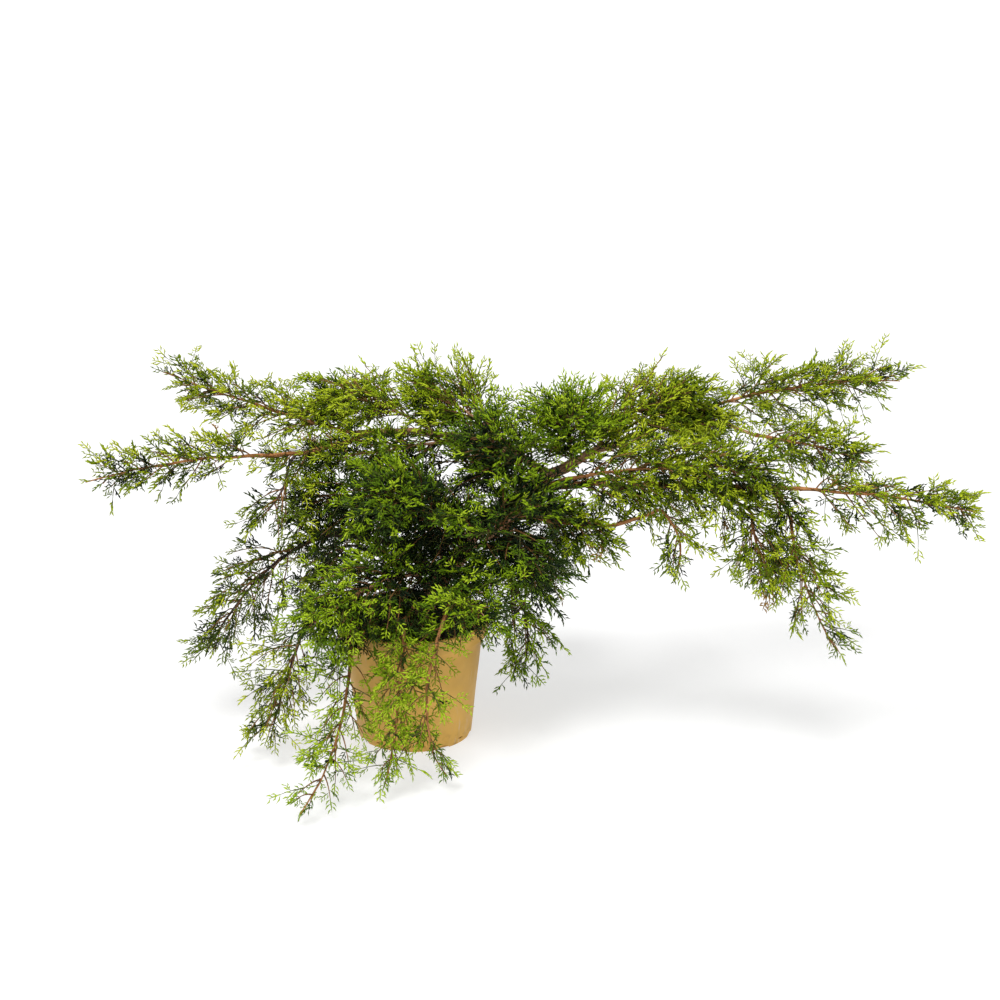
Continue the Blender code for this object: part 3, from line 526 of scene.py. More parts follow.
class StageSettings(bpy.types.PropertyGroup):
    """Camera, lights and floor."""

    camera: bpy.props.FloatVectorProperty(
        name="Camera", description="Place of the camera", subtype="TRANSLATION",
        default=(0.1084, -2.2230, 0.9751))
    pitch: angle_setting("Pitch", "How far the camera looks down", 16.78)
    lens: number_setting("Lens", "Focal length on a 36 mm sensor, in millimetres", 68.18)
    floor: length_setting("Floor", "Radius of the pale floor", 500.0)
    floor_tone: number_setting("Floor tone", "How pale the floor is", 0.42, min=0, max=1)
    floor_glow: number_setting("Floor glow", "Light of the floor itself, as of a lit sweep", 0.62)
    sky: number_setting("Sky", "Strength of the even light from all round", 0.40)
    horizon: number_setting("Horizon", "Strength of the sky where it meets the floor", 1.0)
    key: number_setting("Key", "Strength of the wide soft light above", 2.9)
    key_width: angle_setting("Key width", "Angle that the light above spans", 25)
    key_turn: bpy.props.FloatVectorProperty(
        name="Key turn", description="Rotation of the light above", subtype="EULER",
        default=(math.radians(28), math.radians(-12), 0))
    fill: number_setting("Fill", "Strength of the soft light in front", 0.55)
    fill_width: angle_setting("Fill width", "Angle that the light in front spans", 80)
    fill_turn: bpy.props.FloatVectorProperty(
        name="Fill turn", description="Rotation of the light in front", subtype="EULER",
        default=(math.radians(62), 0, math.radians(15)))


class Route:
    """Smooth curve from root to tip whose middle is carried off the straight line by bow."""

    def __init__(self, root, tip, bow):
        self.root = Vector(root)
        self.tip = Vector(tip)
        self.bow = Vector(bow)
        self.control = (self.root + self.tip) / 2 + 2 * self.bow
        self.side = (self.control - self.root).cross(self.tip - self.root)
        if self.side.length < 1e-7:
            self.side = (self.tip - self.root).cross(UP)
        if self.side.length < 1e-7:
            self.side = Vector((1, 0, 0))
        self.side.normalize()
        places = [self.point(i / 16) for i in range(17)]
        self.length = sum((b - a).length for a, b in zip(places, places[1:]))

    def point(self, t):
        return (1 - t) ** 2 * self.root + 2 * t * (1 - t) * self.control + t ** 2 * self.tip

    def heading(self, t):
        slope = (1 - t) * (self.control - self.root) + t * (self.tip - self.control)
        return slope.normalized()


def limb_routes():
    """Route of the trunk, of each bough from its place on its parent, and of each stem."""
    foot = Vector((TRUNK_FOOT_OFFSET, 0, SOIL_HIGH.z + GAP))
    routes = {"trunk": Route(foot, TRUNK_LEAN, TRUNK_BOW)}
    for name, plan in {**BOUGHS, **MASSES}.items():
        root = routes[plan.parent].point(plan.at)
        routes[name] = Route(root, plan.tip, plan.bow)
    return routes


def twigs(mass, route):
    """Every twig of the rule: its number, its route and the normal its sprays lie flat on."""
    for k in range(mass.twigs):
        draw = random.Random(mass.seed * 100 + k)
        t = TWIG_FIRST + TWIG_RUN * (k + 0.5) / mass.twigs
        heading = route.heading(t)
        flat = heading.cross(UP)
        flat = flat.normalized() if flat.length > STEEP else route.side
        over = flat.cross(heading)
        turn = GOLDEN_ANGLE * k + draw.uniform(-TURN_DRAW, TURN_DRAW)
        lean = TWIG_LEAN + draw.uniform(-LEAN_DRAW, LEAN_DRAW)
        aside = math.cos(turn) * flat + math.sin(turn) * over
        course = math.cos(lean) * heading + math.sin(lean) * aside
        length = mass.spread * (1 - TWIG_SHORTENING * t * t) * draw.uniform(*LENGTH_DRAW)
        root = route.point(t)
        twig = Route(root, root + length * (course - mass.droop * UP), TWIG_LIFT * length * (UP - heading))
        ahead = twig.heading(0.5)
        face = UP - ahead * ahead.dot(UP)
        if face.length < STEEP:
            face = aside - ahead * ahead.dot(aside)
        tilt = Vector([draw.uniform(-FACE_DRAW, FACE_DRAW) for _ in range(3)])
        yield k, twig, (face.normalized() + tilt).normalized()


def sprays(mass, twig, face, k):
    """Side sprays of a twig, left and right in turn, shorter towards its tip."""
    for j in range(SPRAYS_A_TWIG):
        draw = random.Random(mass.seed * 10000 + k * 10 + j)
        t = SPRAY_FIRST + SPRAY_RUN * j / (SPRAYS_A_TWIG - 1)
        heading = twig.heading(t)
        lateral = heading.cross(face).normalized()
        hand = 1 if (j + k) % 2 else -1
        lean = SPRAY_LEAN + draw.uniform(-LEAN_DRAW, LEAN_DRAW)
        course = math.cos(lean) * heading + hand * math.sin(lean) * lateral
        course += draw.uniform(-SPRAY_RISE, SPRAY_RISE) * face - SPRAY_DROOP * mass.droop * UP
        length = mass.spray * draw.uniform(*LENGTH_DRAW) * (1 - SPRAY_SHORTENING * t)
        root = twig.point(t)
        yield Route(root, root + length * course, SPRAY_LIFT * length * face)


def in_line(point, lines):
    """Whether a point is in one of the lines of sight that stay open."""
    return any((point - middle).cross(heading).length < radius for middle, heading, radius in lines)


def meets(route, test):
    """Whether the test holds for the middle or the tip of a twig or spray."""
    return test(route.point(0.5)) or test(route.point(1))


def past_outline(point):
    """Whether a point lies where the photo shows sky beside the plant."""
    return in_line(point, OUTER_LINES)


def in_the_way(point):
    """Whether a point is in the pot, in its wall, in an open line of sight, too near the floor or
    outside the part's box."""
    beside = math.hypot(point.x, point.y)
    in_pot = point.z < POT_HIGH.z + POT_CLEARANCE and beside < POT_HIGH.x + POT_CLEARANCE
    low, high = CAD_BOX
    outside = any(not low[axis] - BOX_ROOM < point[axis] < high[axis] + BOX_ROOM for axis in (0, 1))
    return point.z < FLOOR_CLEARANCE or in_pot or in_line(point, OPEN_LINES) or outside


def region_of(mass):
    """Side of the crown that a mass belongs to."""
    x, y, _ = mass.tip
    if x < LEFT_OF:
        return "left"
    if x > RIGHT_OF:
        return "right"
    return "front" if y < 0 else "back"


def score_of(mass, carrier, t, place, draw, straw_share, least):
    """How light a spray is: lighter away from its stem, partly as paler young growth and partly as painted
    light; lighter above it, higher up and in front as painted light; darker in the heart of the crown as
    painted shade; with a draw, but never below the least; or that it is dry."""
    off = place - carrier.point(t)
    score = TINT_SCORE[mass.tint] + RISE_PAINTED_LIGHT * off.z / mass.spread - FRONT_PAINTED_LIGHT * place.y
    score += HEIGHT_PAINTED_LIGHT * (place.z - MIDDLE_HEIGHT)
    for middle, reach in PAINTED_SHADE_PLACES:
        score -= PAINTED_SHADE_DEPTH * max(0.0, 1 - (place - middle).length / reach)
    score += OUTER_GROWTH_AND_LIGHT * (off.length / mass.spread - MIDDLE_SHARE) + draw.gauss(0, SCORE_DRAW)
    return 2 * DRY if draw.random() < straw_share else max(least, score)


Twig = namedtuple("Twig", "route face region score reach bare")
# Share of a twig or spray at which its shade is judged
JUDGED_AT = 0.6
# The stem's end grows as a spray of its own: where its face is read, its branchlets' reach, and how
# much of it is bare
STEM_FACE_AT, STEM_REACH, STEM_BARE = 0.8, 0.8, 0.62
# How bare a twig is at least, and how bare twigs and sprays are for the bareness of their mass
LEAST_BARE, TWIG_BARE, SPRAY_BARE = 0.35, 1.5, 0.5


def grow(plan):
    """Every twig and spray of every mass by the part's rule, with its score and branchlets' reach."""
    routes = limb_routes()
    grown_twigs, grown_sprays = [], []
    for name, mass in {**MASSES, **SPURS}.items():
        stem = routes[name]
        region = region_of(mass)
        full, thin, bare = OPEN_MASSES.get(name, FULL_MASS)
        lowest = LOWEST_SPRAY.get(name, 0)
        highest = HIGHEST_SPRAY.get(name, CAD_BOX[1][2])
        # Young growth and painted light of the whole mass where the gain is positive, painted shade where
        # negative
        gain = LIGHT_GAIN.get(name, 0)
        least = OPEN_SCORE if name in OPEN_MASSES else 0
        draw = random.Random(mass.seed)
        if name in MASSES:
            face = stem.side.cross(stem.heading(STEM_FACE_AT))
            grown_sprays.append(Twig(stem, face, region, SHADE_STEPS[2], STEM_REACH, STEM_BARE))
        for k, twig, face in twigs(mass, stem):
            if meets(twig, in_the_way):
                continue
            t = TWIG_FIRST + TWIG_RUN * (k + 0.5) / mass.twigs
            kept = plan.fullness * (full + (thin - full) * t)
            if draw.random() > TWIGS_A_SPRAY * kept:
                continue
            score = gain + score_of(mass, stem, t, twig.point(JUDGED_AT), draw, plan.straw_share, least)
            shown = not meets(twig, past_outline)
            if shown:
                grown_twigs.append(
                    Twig(twig, face, region, score, TWIG_REACH, max(LEAST_BARE, TWIG_BARE * bare)))
            for spray in sprays(mass, twig, face, k):
                if draw.random() > kept or meets(spray, in_the_way) or not lowest < spray.tip.z < highest:
                    continue
                place = spray.point(JUDGED_AT)
                score = gain + score_of(mass, stem, t, place, draw, plan.straw_share, least)
                if shown and not meets(spray, past_outline):
                    grown_sprays.append(
                        Twig(spray, face, region, score, SPRAY_REACH, SPRAY_BARE * bare))
    return grown_twigs, grown_sprays


def unit(vectors):
    """Vectors of length one, row by row."""
    return vectors / np.maximum(np.linalg.norm(vectors, axis=-1, keepdims=True), 1e-9)


def curve_arrays(routes):
    """Roots, controls and tips of many routes as arrays."""
    return [np.array([getattr(route, part) for route in routes]) for part in ("root", "control", "tip")]


def along(arrays, t):
    """Places and headings of many curves at the shares t of their way."""
    root, control, tip = arrays
    place = (1 - t) ** 2 * root + 2 * t * (1 - t) * control + t ** 2 * tip
    return place, unit((1 - t) * (control - root) + t * (tip - control))


# Draws for branchlets: place in their step along the twig, turn of their lean, and length
STEP_DRAW = (0.2, 0.8)
BRANCHLET_LEAN_DRAW = 0.14
BRANCHLET_LENGTH_DRAW = (0.75, 1.15)
FEWEST_BRANCHLETS = 3
LAST_BRANCHLET = 0.97
BRANCHLET_SHORTENING = 0.5


def branchlet_points(grown, plan, seed):
    """Place, heading, face, length and shade of every branchlet along the given twigs and sprays."""
    draw = np.random.default_rng(seed)
    bare = np.array([twig.bare for twig in grown])
    length = np.array([twig.route.length for twig in grown])
    count = np.maximum(FEWEST_BRANCHLETS, np.round(length * (1 - bare) / plan.spacing)).astype(int)
    owner = np.repeat(np.arange(len(grown)), count)
    order = np.arange(len(owner)) - np.repeat(np.cumsum(count) - count, count)
    share = (order + draw.uniform(*STEP_DRAW, len(owner))) / count[owner]
    t = bare[owner] + (LAST_BRANCHLET - bare[owner]) * share
    arrays = [part[owner] for part in curve_arrays([twig.route for twig in grown])]
    place, ahead = along(arrays, t[:, None])
    face = unit(np.array([twig.face for twig in grown])[owner])
    aside = unit(np.cross(ahead, face))
    hand = np.where((order + owner) % 2, 1.0, -1.0)
    lean = plan.lean + draw.normal(0, BRANCHLET_LEAN_DRAW, len(owner))
    rise = draw.normal(0, plan.tumble, len(owner))
    heading = (np.cos(lean)[:, None] * ahead + (hand * np.sin(lean))[:, None] * aside + rise[:, None] * face)
    reach = plan.reach * np.array([twig.reach for twig in grown])[owner]
    size = reach * (1 - BRANCHLET_SHORTENING * share) * draw.uniform(*BRANCHLET_LENGTH_DRAW, len(owner))
    tips = order == count[owner] - 1
    heading[tips] = ahead[tips]
    size[tips] = TIP_REACH * reach[tips]
    heading[:, 2] += UPSWEEP * np.clip((place[:, 2] - UPSWEEP_START) / UPSWEEP_RUN, 0, 1)
    heading = unit(heading)
    lowest = (FLOOR_CLEARANCE - place[:, 2]) / size
    heading[:, 2] = np.maximum(heading[:, 2], lowest)
    turned_face = face + draw.normal(0, plan.tumble, face.shape)
    score = np.array([twig.score for twig in grown])[owner]
    # Each branchlet takes painted shade towards the root of its spray and painted light towards its tip
    shade = np.where(score < DRY, len(SHADES), np.searchsorted(
        SHADE_STEPS, score + TIP_PAINTED_LIGHT * (share - 0.5) + draw.normal(0, BRANCHLET_DRAW, len(owner))))
    return place, unit(heading), unit(turned_face), size, shade


def spindle(root, tip, width, belly, bend):
    """Bent shoot of six faces, pointed at both ends and widest at its belly, as corners."""
    ahead = (tip - root).normalized()
    aside = ahead.cross(Vector((0.3, 0.2, 1))).normalized()
    over = aside.cross(ahead)
    middle = root + belly * (tip - root) + bend
    ring = [middle + 0.5 * width * (math.cos(turn) * aside + math.sin(turn) * over)
            for turn in (math.radians(90), math.radians(210), math.radians(330))]
    return ring + [root, tip]


# Shoots of a branchlet one metre long: the first place and the run of places along the rib, their
# lean and its draw, their length at the root and how it falls, and the draws of length and width
SHOOT_FIRST, SHOOT_RUN = 0.08, 0.74
SHOOT_LEAN = math.radians(39)
SHOOT_LEAN_DRAW = 0.25
SHOOT_LENGTH, SHOOT_FALL = 0.58, 0.24
SHOOT_LENGTH_DRAW = (0.8, 1.2)
SHOOT_WIDTH_DRAW = (0.85, 1.15)
SHOOT_RISE = 0.4
SHOOT_BEND = 0.12
RIB_SWAY = 0.10
RIB_FOOT = 0.03
RIB_BELLY, SHOOT_BELLY = 0.45, 0.5
SPINDLE_FACES = ((0, 3, 1), (1, 3, 2), (2, 3, 0), (0, 1, 4), (1, 2, 4), (2, 0, 4))


def branchlet_mesh(number, plan):
    """One branchlet, one metre long on +X and flat in XY: a thin rib with shoots in turn."""
    draw = random.Random(plan.seed * 50 + number)
    sway = draw.uniform(-RIB_SWAY, RIB_SWAY)
    rib_bend = Vector((0, -0.4 * sway, 0.05))
    foot, end = Vector((-RIB_FOOT, 0, 0)), Vector((1, sway, 0))
    spindles = [spindle(foot, end, plan.shoot_width, RIB_BELLY, rib_bend)]
    for i in range(plan.shoots):
        x = SHOOT_FIRST + SHOOT_RUN * (i + draw.uniform(*STEP_DRAW)) / plan.shoots
        hand = 1 if (i + number) % 2 else -1
        lean = SHOOT_LEAN + draw.uniform(-SHOOT_LEAN_DRAW, SHOOT_LEAN_DRAW)
        length = (SHOOT_LENGTH - SHOOT_FALL * x) * draw.uniform(*SHOOT_LENGTH_DRAW)
        root = Vector((x, sway * x, 0))
        rise = draw.uniform(-SHOOT_RISE, SHOOT_RISE)
        course = Vector((math.cos(lean), hand * math.sin(lean), rise))
        width = plan.shoot_width * draw.uniform(*SHOOT_WIDTH_DRAW)
        bend = SHOOT_BEND * length * Vector((-math.sin(lean), hand * math.cos(lean), 0.3))
        spindles.append(spindle(root, root + length * course, width, SHOOT_BELLY, bend))
    corners = [corner for shape in spindles for corner in shape]
    faces = [tuple(5 * i + c for c in face) for i in range(len(spindles)) for face in SPINDLE_FACES]
    mesh = bpy.data.meshes.new(f"branchlet_{number}")
    mesh.from_pydata(corners, [], faces)
    return mesh


def mesh_from(name, corners, groups):
    """Mesh from an array of corners and arrays of faces, one array for each number of sides."""
    mesh = bpy.data.meshes.new(name)
    sides = np.concatenate([np.full(len(faces), faces.shape[1]) for faces in groups])
    loops = np.concatenate([faces.ravel() for faces in groups])
    mesh.vertices.add(len(corners))
    mesh.vertices.foreach_set("co", np.asarray(corners, dtype=np.float32).ravel())
    mesh.loops.add(len(loops))
    mesh.loops.foreach_set("vertex_index", loops.astype(np.int32))
    mesh.polygons.add(len(sides))
    mesh.polygons.foreach_set("loop_start", (np.cumsum(sides) - sides).astype(np.int32))
    mesh.update(calc_edges=True)
    mesh.validate()
    return mesh


def ring_quads(starts, sides):
    """Faces from each ring of corners to the next one, for the first corner of every such ring."""
    here = np.arange(sides)
    following = (here + 1) % sides
    low = starts[..., None]
    quads = np.stack([low + here, low + following, low + following + sides, low + here + sides], axis=-1)
    return quads.reshape(-1, 4)


def carry(mesh, name, values):
    """Give every corner of a mesh a number or a vector."""
    kind, part = ("FLOAT", "value") if values.ndim == 1 else ("FLOAT_VECTOR", "vector")
    carried = mesh.attributes.new(name, kind, "POINT")
    carried.data.foreach_set(part, values.astype(np.float32).ravel())


def put(name, data):
    """New object in the scene."""
    made = bpy.data.objects.new(name, data)
    bpy.context.scene.collection.objects.link(made)
    return made


def add_piece(name, mesh, finish, slot, nodes, smooth=True):
    """Put a finished mesh in the scene as a piece that stands for the given nodes."""
    piece = put(name, mesh)
    if smooth:
        mesh.polygons.foreach_set("use_smooth", [True] * len(mesh.polygons))
    if finish and not mesh.materials:
        mesh.materials.append(finish)
    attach(piece, BODY)
    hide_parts(*nodes)
    return piece


@contextmanager
def edited(mesh):
    """The mesh as a bmesh, written back at the end."""
    work = bmesh.new()
    work.from_mesh(mesh)
    yield work
    work.to_mesh(mesh)
    work.free()


def sharpen(mesh, angle):
    """Keep edges crisp where the faces on them meet at more than the angle."""
    with edited(mesh) as work:
        for edge in work.edges:
            edge.smooth = edge.calc_face_angle(math.pi) < angle


def turned(profile, sides):
    """Closed body turned round Z from a profile that starts and ends on the axis."""
    corners = [Vector((0, 0, profile[0][1])), Vector((0, 0, profile[-1][1]))]
    rows = profile[1:-1]
    for radius, height in rows:
        for i in range(sides):
            turn = math.tau * i / sides
            corners.append(Vector((radius * math.cos(turn), radius * math.sin(turn), height)))
    faces = []
    for i in range(sides):
        j = (i + 1) % sides
        faces.append((0, 2 + j, 2 + i))
        last = 2 + sides * (len(rows) - 1)
        faces.append((1, last + i, last + j))
        for row in range(len(rows) - 1):
            low, high = 2 + sides * row, 2 + sides * (row + 1)
            faces.append((low + i, low + j, high + j, high + i))
    mesh = bpy.data.meshes.new("turned")
    mesh.from_pydata(corners, [], faces)
    return mesh


def plain_result(holder):
    """Evaluated mesh of an object with its modifiers applied; the object itself is removed."""
    view = bpy.context.evaluated_depsgraph_get()
    mesh = bpy.data.meshes.new_from_object(holder.evaluated_get(view))
    bpy.data.objects.remove(holder)
    return mesh


def new_node(tree, kind, sockets, **settings):
    """Node with its settings made, and each of the named or numbered inputs linked or set."""
    node = tree.nodes.new(kind)
    for setting, value in settings.items():
        setattr(node, setting, value)
    for socket, value in sockets.items():
        if isinstance(value, bpy.types.NodeSocket):
            tree.links.new(value, node.inputs[socket])
        else:
            node.inputs[socket].default_value = value
    return node


class Finish:
    """A material and the nodes that make it up."""

    def __init__(self, name, roughness, specular=0.5):
        self.material = bpy.data.materials.new(name)
        self.material.use_nodes = True
        self.tree = self.material.node_tree
        self.shader = self.tree.nodes["Principled BSDF"]
        self.shader.inputs["Roughness"].default_value = roughness
        self.shader.inputs["Specular IOR Level"].default_value = specular
        self.place = None

    def node(self, kind, output, sockets, **settings):
        return new_node(self.tree, kind, sockets, **settings).outputs[output]

    def object_space(self):
        """Pattern runs in the object's own metres."""
        self.place = self.node("ShaderNodeTexCoord", "Object", {})

    def attribute_space(self, name):
        """Pattern runs in a vector that the mesh carries."""
        self.place = self.node("ShaderNodeAttribute", "Vector", {}, attribute_name=name)

    def stretched(self, scale):
        return self.node("ShaderNodeMapping", "Vector", {"Scale": scale, "Vector": self.place})

    def noise(self, scale, detail=2.0, roughness=0.5, place=None):
        return self.node("ShaderNodeTexNoise", "Fac", {
            "Scale": scale, "Detail": detail, "Roughness": roughness, "Vector": place or self.place})

    def height(self):
        """Height above the floor."""
        return self.node("ShaderNodeSeparateXYZ", "Z", {"Vector": self.place})

    def ranged(self, value, low, high, to_low=0.0, to_high=1.0):
        return self.node("ShaderNodeMapRange", "Result", {
            "From Min": low, "From Max": high, "To Min": to_low, "To Max": to_high, "Value": value})

    def times(self, first, second):
        return self.node("ShaderNodeMath", "Value", {0: first, 1: second}, operation="MULTIPLY")

    def mixed(self, factor, first, second):
        """Colour between two others; each is a socket or a plain colour."""
        first, second = [colour if isinstance(colour, bpy.types.NodeSocket) else (*colour, 1.0)
                         for colour in (first, second)]
        return self.node("ShaderNodeMix", 2, {"Factor": factor, 6: first, 7: second}, data_type="RGBA")

    def bump(self, height, distance, strength=1.0):
        before = self.shader.inputs["Normal"]
        sockets = {"Distance": distance, "Strength": strength, "Height": height}
        if before.is_linked:
            sockets["Normal"] = before.links[0].from_socket
        self.tree.links.new(self.node("ShaderNodeBump", "Normal", sockets), before)

    def colour(self, value):
        self.tree.links.new(value, self.shader.inputs["Base Color"])

    def roughness(self, value):
        self.tree.links.new(value, self.shader.inputs["Roughness"])


def scaled(colour, factor):
    """Colour made lighter or darker."""
    return tuple(factor * channel for channel in colour)


def pot_finish(plan):
    """Matt tan plastic, mottled, with pale scuffs and a little soil dust at the foot."""
    finish = Finish("pot_plastic", 0.55, 0.35)
    finish.object_space()
    mottle = finish.ranged(finish.noise(16, 4, 0.6), 0.35, 0.65)
    body = finish.mixed(mottle, scaled(plan.colour, 0.90), scaled(plan.colour, 1.08))
    scratches = finish.noise(1, 3, 0.6, finish.stretched((240, 240, 26)))
    patches = finish.ranged(finish.noise(22, 2), 0.52, 0.66)
    scuffs = finish.times(finish.ranged(scratches, 0.56, 0.70), patches)
    scuffed = finish.mixed(scuffs, body, plan.scuffed)
    low = finish.ranged(finish.height(), 0.028, 0.0)
    dust = finish.times(finish.ranged(finish.noise(70, 4, 0.7), 0.48, 0.72), low)
    finish.colour(finish.mixed(dust, scuffed, scaled(plan.colour, 0.55)))
    finish.roughness(finish.ranged(finish.noise(40, 3), 0.3, 0.7, 0.46, 0.64))
    finish.bump(finish.noise(1400, 2), 0.00006)
    finish.bump(finish.noise(30, 2), 0.0006, 0.5)
    return finish.material


def soil_finish(name, colour, lighter, grain):
    """Damp crumbs: a dark colour broken up with a lighter one."""
    finish = Finish(name, 0.95, 0.2)
    finish.object_space()
    crumbs = finish.ranged(finish.noise(grain, 5, 0.7), 0.42, 0.66)
    finish.colour(finish.mixed(crumbs, colour, scaled(colour, lighter)))
    finish.roughness(finish.ranged(finish.noise(grain / 2, 2), 0.3, 0.7, 0.82, 1.0))
    finish.bump(finish.noise(2 * grain, 4, 0.7), 0.0008)
    return finish.material


def bark_finish(name, colour, worn):
    """Fibrous bark: long strips with dark cracks between them, and a grey bloom on top."""
    finish = Finish(name, 0.85, 0.25)
    finish.attribute_space("grain")
    strips = finish.noise(1, 4, 0.65, finish.stretched((900, 900, 70)))
    cracks = finish.ranged(strips, 0.36, 0.50)
    patches = finish.ranged(finish.noise(1, 3, 0.6, finish.stretched((110, 110, 45))), 0.40, 0.66)
    skin = finish.mixed(patches, scaled(colour, 0.72), worn)
    finish.colour(finish.mixed(cracks, scaled(colour, 0.28), skin))
    finish.roughness(finish.ranged(patches, 0, 1, 0.9, 0.72))
    finish.bump(strips, 0.0007)
    return finish.material


def green_finish(name, colour):
    """Plain green of one shade; the play of greens, with its painted light and shade, comes from how
    the sprays are dealt out.
    """
    finish = Finish(name, 0.62, 0.15)
    finish.shader.inputs["Base Color"].default_value = (*colour, 1.0)
    return finish.material


def twig_finish(name, colour, lighter):
    """Thin bark of the twigs, paler in places."""
    finish = Finish(name, 0.7, 0.3)
    finish.object_space()
    patches = finish.ranged(finish.noise(160, 3, 0.6), 0.40, 0.62)
    finish.colour(finish.mixed(patches, colour, lighter))
    finish.roughness(finish.ranged(patches, 0, 1, 0.8, 0.62))
    finish.bump(finish.noise(900, 2), 0.0002)
    return finish.material


# Shares of the wall's height that have a ring, and the angle from which its edges stay crisp
WALL_SHARES = (0.1, 0.2, 0.3, 0.4, 0.5, 0.6, 0.7, 0.8, 0.9)
CRISP_ANGLE = math.radians(38)
# How far the cutters reach through the wall, as shares of the foot's radius, and their sides
ARCH_REACH, SLOT_REACH = (0.93, 1.10), (0.90, 1.10)
ARCH_SIDES, SLOT_SIDES = 96, 20
# How often the wall strays from round in a metre across and upwards, and the height at which it
# strays in full
WAVER_ACROSS, WAVER_UP = 6, 14
WAVER_HEIGHT = 0.03


def pot_mesh(plan):
    """Moulded pot: turned wall with a rounded collar, a recessed underside and drain openings."""
    # The profile runs from the axis under the pot up the wall, over the lip and down the inside to
    # the axis; its small steps round the edges.
    low, high = 0.0, POT_HIGH.z
    rim, wall, foot, side = POT_HIGH.x, plan.wall, plan.foot_radius, plan.shoulder_radius
    shoulder = high - plan.collar_height
    collar = rim - plan.collar_draft
    under = [(0, low + 0.0012), (0.74 * foot, low + 0.0012), (0.77 * foot, low), (foot - 0.0028, low),
             (foot - 0.0008, low + 0.0007), (foot, low + 0.0026)]
    rise = [(foot + (side - foot) * share, low + 0.0026 + (shoulder - 0.0056) * share)
            for share in WALL_SHARES]
    lip = [(side, shoulder - 0.0030), (side + 0.0010, shoulder - 0.0008), (side + 0.0024, shoulder),
           (collar - 0.0012, shoulder), (collar - 0.0003, shoulder + 0.0004), (collar, shoulder + 0.0014),
           (rim - 0.0006, high - 0.0042), (rim, high - 0.0032), (rim, high - 0.0012),
           (rim - 0.0005, high - 0.0003), (rim - 0.0011, high)]
    inside = [(rim - wall - 0.0008, high), (rim - wall - 0.0012, high - 0.0006),
              (collar - wall - 0.0006, shoulder + wall), (side - wall, shoulder - 0.001),
              (foot - wall, low + 2 * wall), (0, low + 2 * wall)]
    holder = put("pot_blank", turned(under + rise + lip + inside, plan.sides))
    cutters = bpy.data.collections.new("pot_cutters")
    bpy.context.scene.collection.children.link(cutters)
    for shape in drain_cutters(plan):
        cutters.objects.link(bpy.data.objects.new("pot_cutter", shape))
    cut = holder.modifiers.new("drains", "BOOLEAN")
    cut.operation = "DIFFERENCE"
    cut.operand_type = "COLLECTION"
    cut.collection = cutters
    cut.solver = "EXACT"
    mesh = plain_result(holder)
    for cutter in list(cutters.objects):
        bpy.data.objects.remove(cutter)
    bpy.data.collections.remove(cutters)
    for vertex in mesh.vertices:
        x, y, z = vertex.co
        at = Vector((WAVER_ACROSS * x, WAVER_ACROSS * y, WAVER_UP * z))
        waver = noise.noise(at) * plan.waver * min(1.0, z / WAVER_HEIGHT)
        vertex.co = Vector((x, y, z)) + waver * Vector((x, y, 0)) / max(math.hypot(x, y), 0.01)
    sharpen(mesh, CRISP_ANGLE)
    return mesh


def drain_cutters(plan):
    """Shapes that cut the arched openings at the foot, and a small slot between each two."""
    arch = (plan.drain_width ** 2 / 4 + plan.drain_height ** 2) / (2 * plan.drain_height)
    kinds = ((0, ARCH_REACH, plan.drain_height - arch, arch, arch, ARCH_SIDES),
             (0.5, SLOT_REACH, plan.slot_rise, 0.5 * plan.slot_width, 0.5 * plan.slot_height, SLOT_SIDES))
    for i in range(plan.drain_count):
        for step, reach, rise, broad, high, sides in kinds:
            turn = plan.drain_first + math.tau * (i + step) / plan.drain_count
            out = Vector((math.cos(turn), math.sin(turn), 0))
            start, stop = [share * plan.foot_radius * out + rise * UP for share in reach]
            yield bar(start, stop, broad * out.cross(UP), high * UP, sides)


def bar(start, stop, across, up, sides):
    """Straight closed bar of elliptic section."""
    turns = [math.tau * i / sides for i in range(sides)]
    ring = [math.cos(turn) * across + math.sin(turn) * up for turn in turns]
    corners = [start + offset for offset in ring] + [stop + offset for offset in ring]
    faces = [(i, sides + i, sides + (i + 1) % sides, (i + 1) % sides) for i in range(sides)]
    faces += [tuple(range(sides)), tuple(range(2 * sides - 1, sides - 1, -1))]
    mesh = bpy.data.meshes.new("bar")
    mesh.from_pydata(corners, [], faces)
    with edited(mesh) as work:
        bmesh.ops.recalc_face_normals(work, faces=work.faces)
    return mesh


# Rings and sides of the soil, and how far its skirt reaches down
SOIL_RINGS, SOIL_SIDES = 52, 180
SOIL_SKIRT = 0.030
# Lumps: how often in a metre, and how high beside the others
SOIL_LUMPS = ((55, 1.0), (170, 0.55), (460, 0.3))
MOUND_RADIUS = 0.022
# Height of the lumps beside the mound, how fast they fade towards the wall, and how far all sinks
LUMP_SHARE = 0.6
WALL_FADE = 12
SOIL_SINK = 0.0012


def soil_mesh(plan, pot):
    """Lumpy disc of soil that rises a little round the trunk and at the wall."""
    radius = SOIL_HIGH.x - 0.0004
    top = SOIL_HIGH.z
    shoulder = POT_HIGH.z - pot.collar_height
    profile = [(0, top - SOIL_SKIRT), (pot.shoulder_radius - 0.006, top - SOIL_SKIRT),
               (pot.shoulder_radius - 0.003, shoulder), (radius - 0.0015, shoulder + 0.004)]
    profile += [(radius * (1 - k / SOIL_RINGS) ** 0.9, top) for k in range(SOIL_RINGS)] + [(0, top)]
    mesh = turned(profile, SOIL_SIDES)
    for vertex in mesh.vertices:
        x, y, z = vertex.co
        if z < top - 0.001:
            continue
        beside = math.hypot(x, y) / radius
        lumps = sum(height * noise.noise(Vector((x, y, 0.1 * layer)) * often)
                    for layer, (often, height) in enumerate(SOIL_LUMPS))
        mound = math.exp(-((x / MOUND_RADIUS) ** 2 + (y / MOUND_RADIUS) ** 2))
        fade = min(1.0, (1 - beside) * WALL_FADE)
        vertex.co.z += fade * (plan.lumps * (LUMP_SHARE * lumps + mound) - SOIL_SINK)
    return mesh


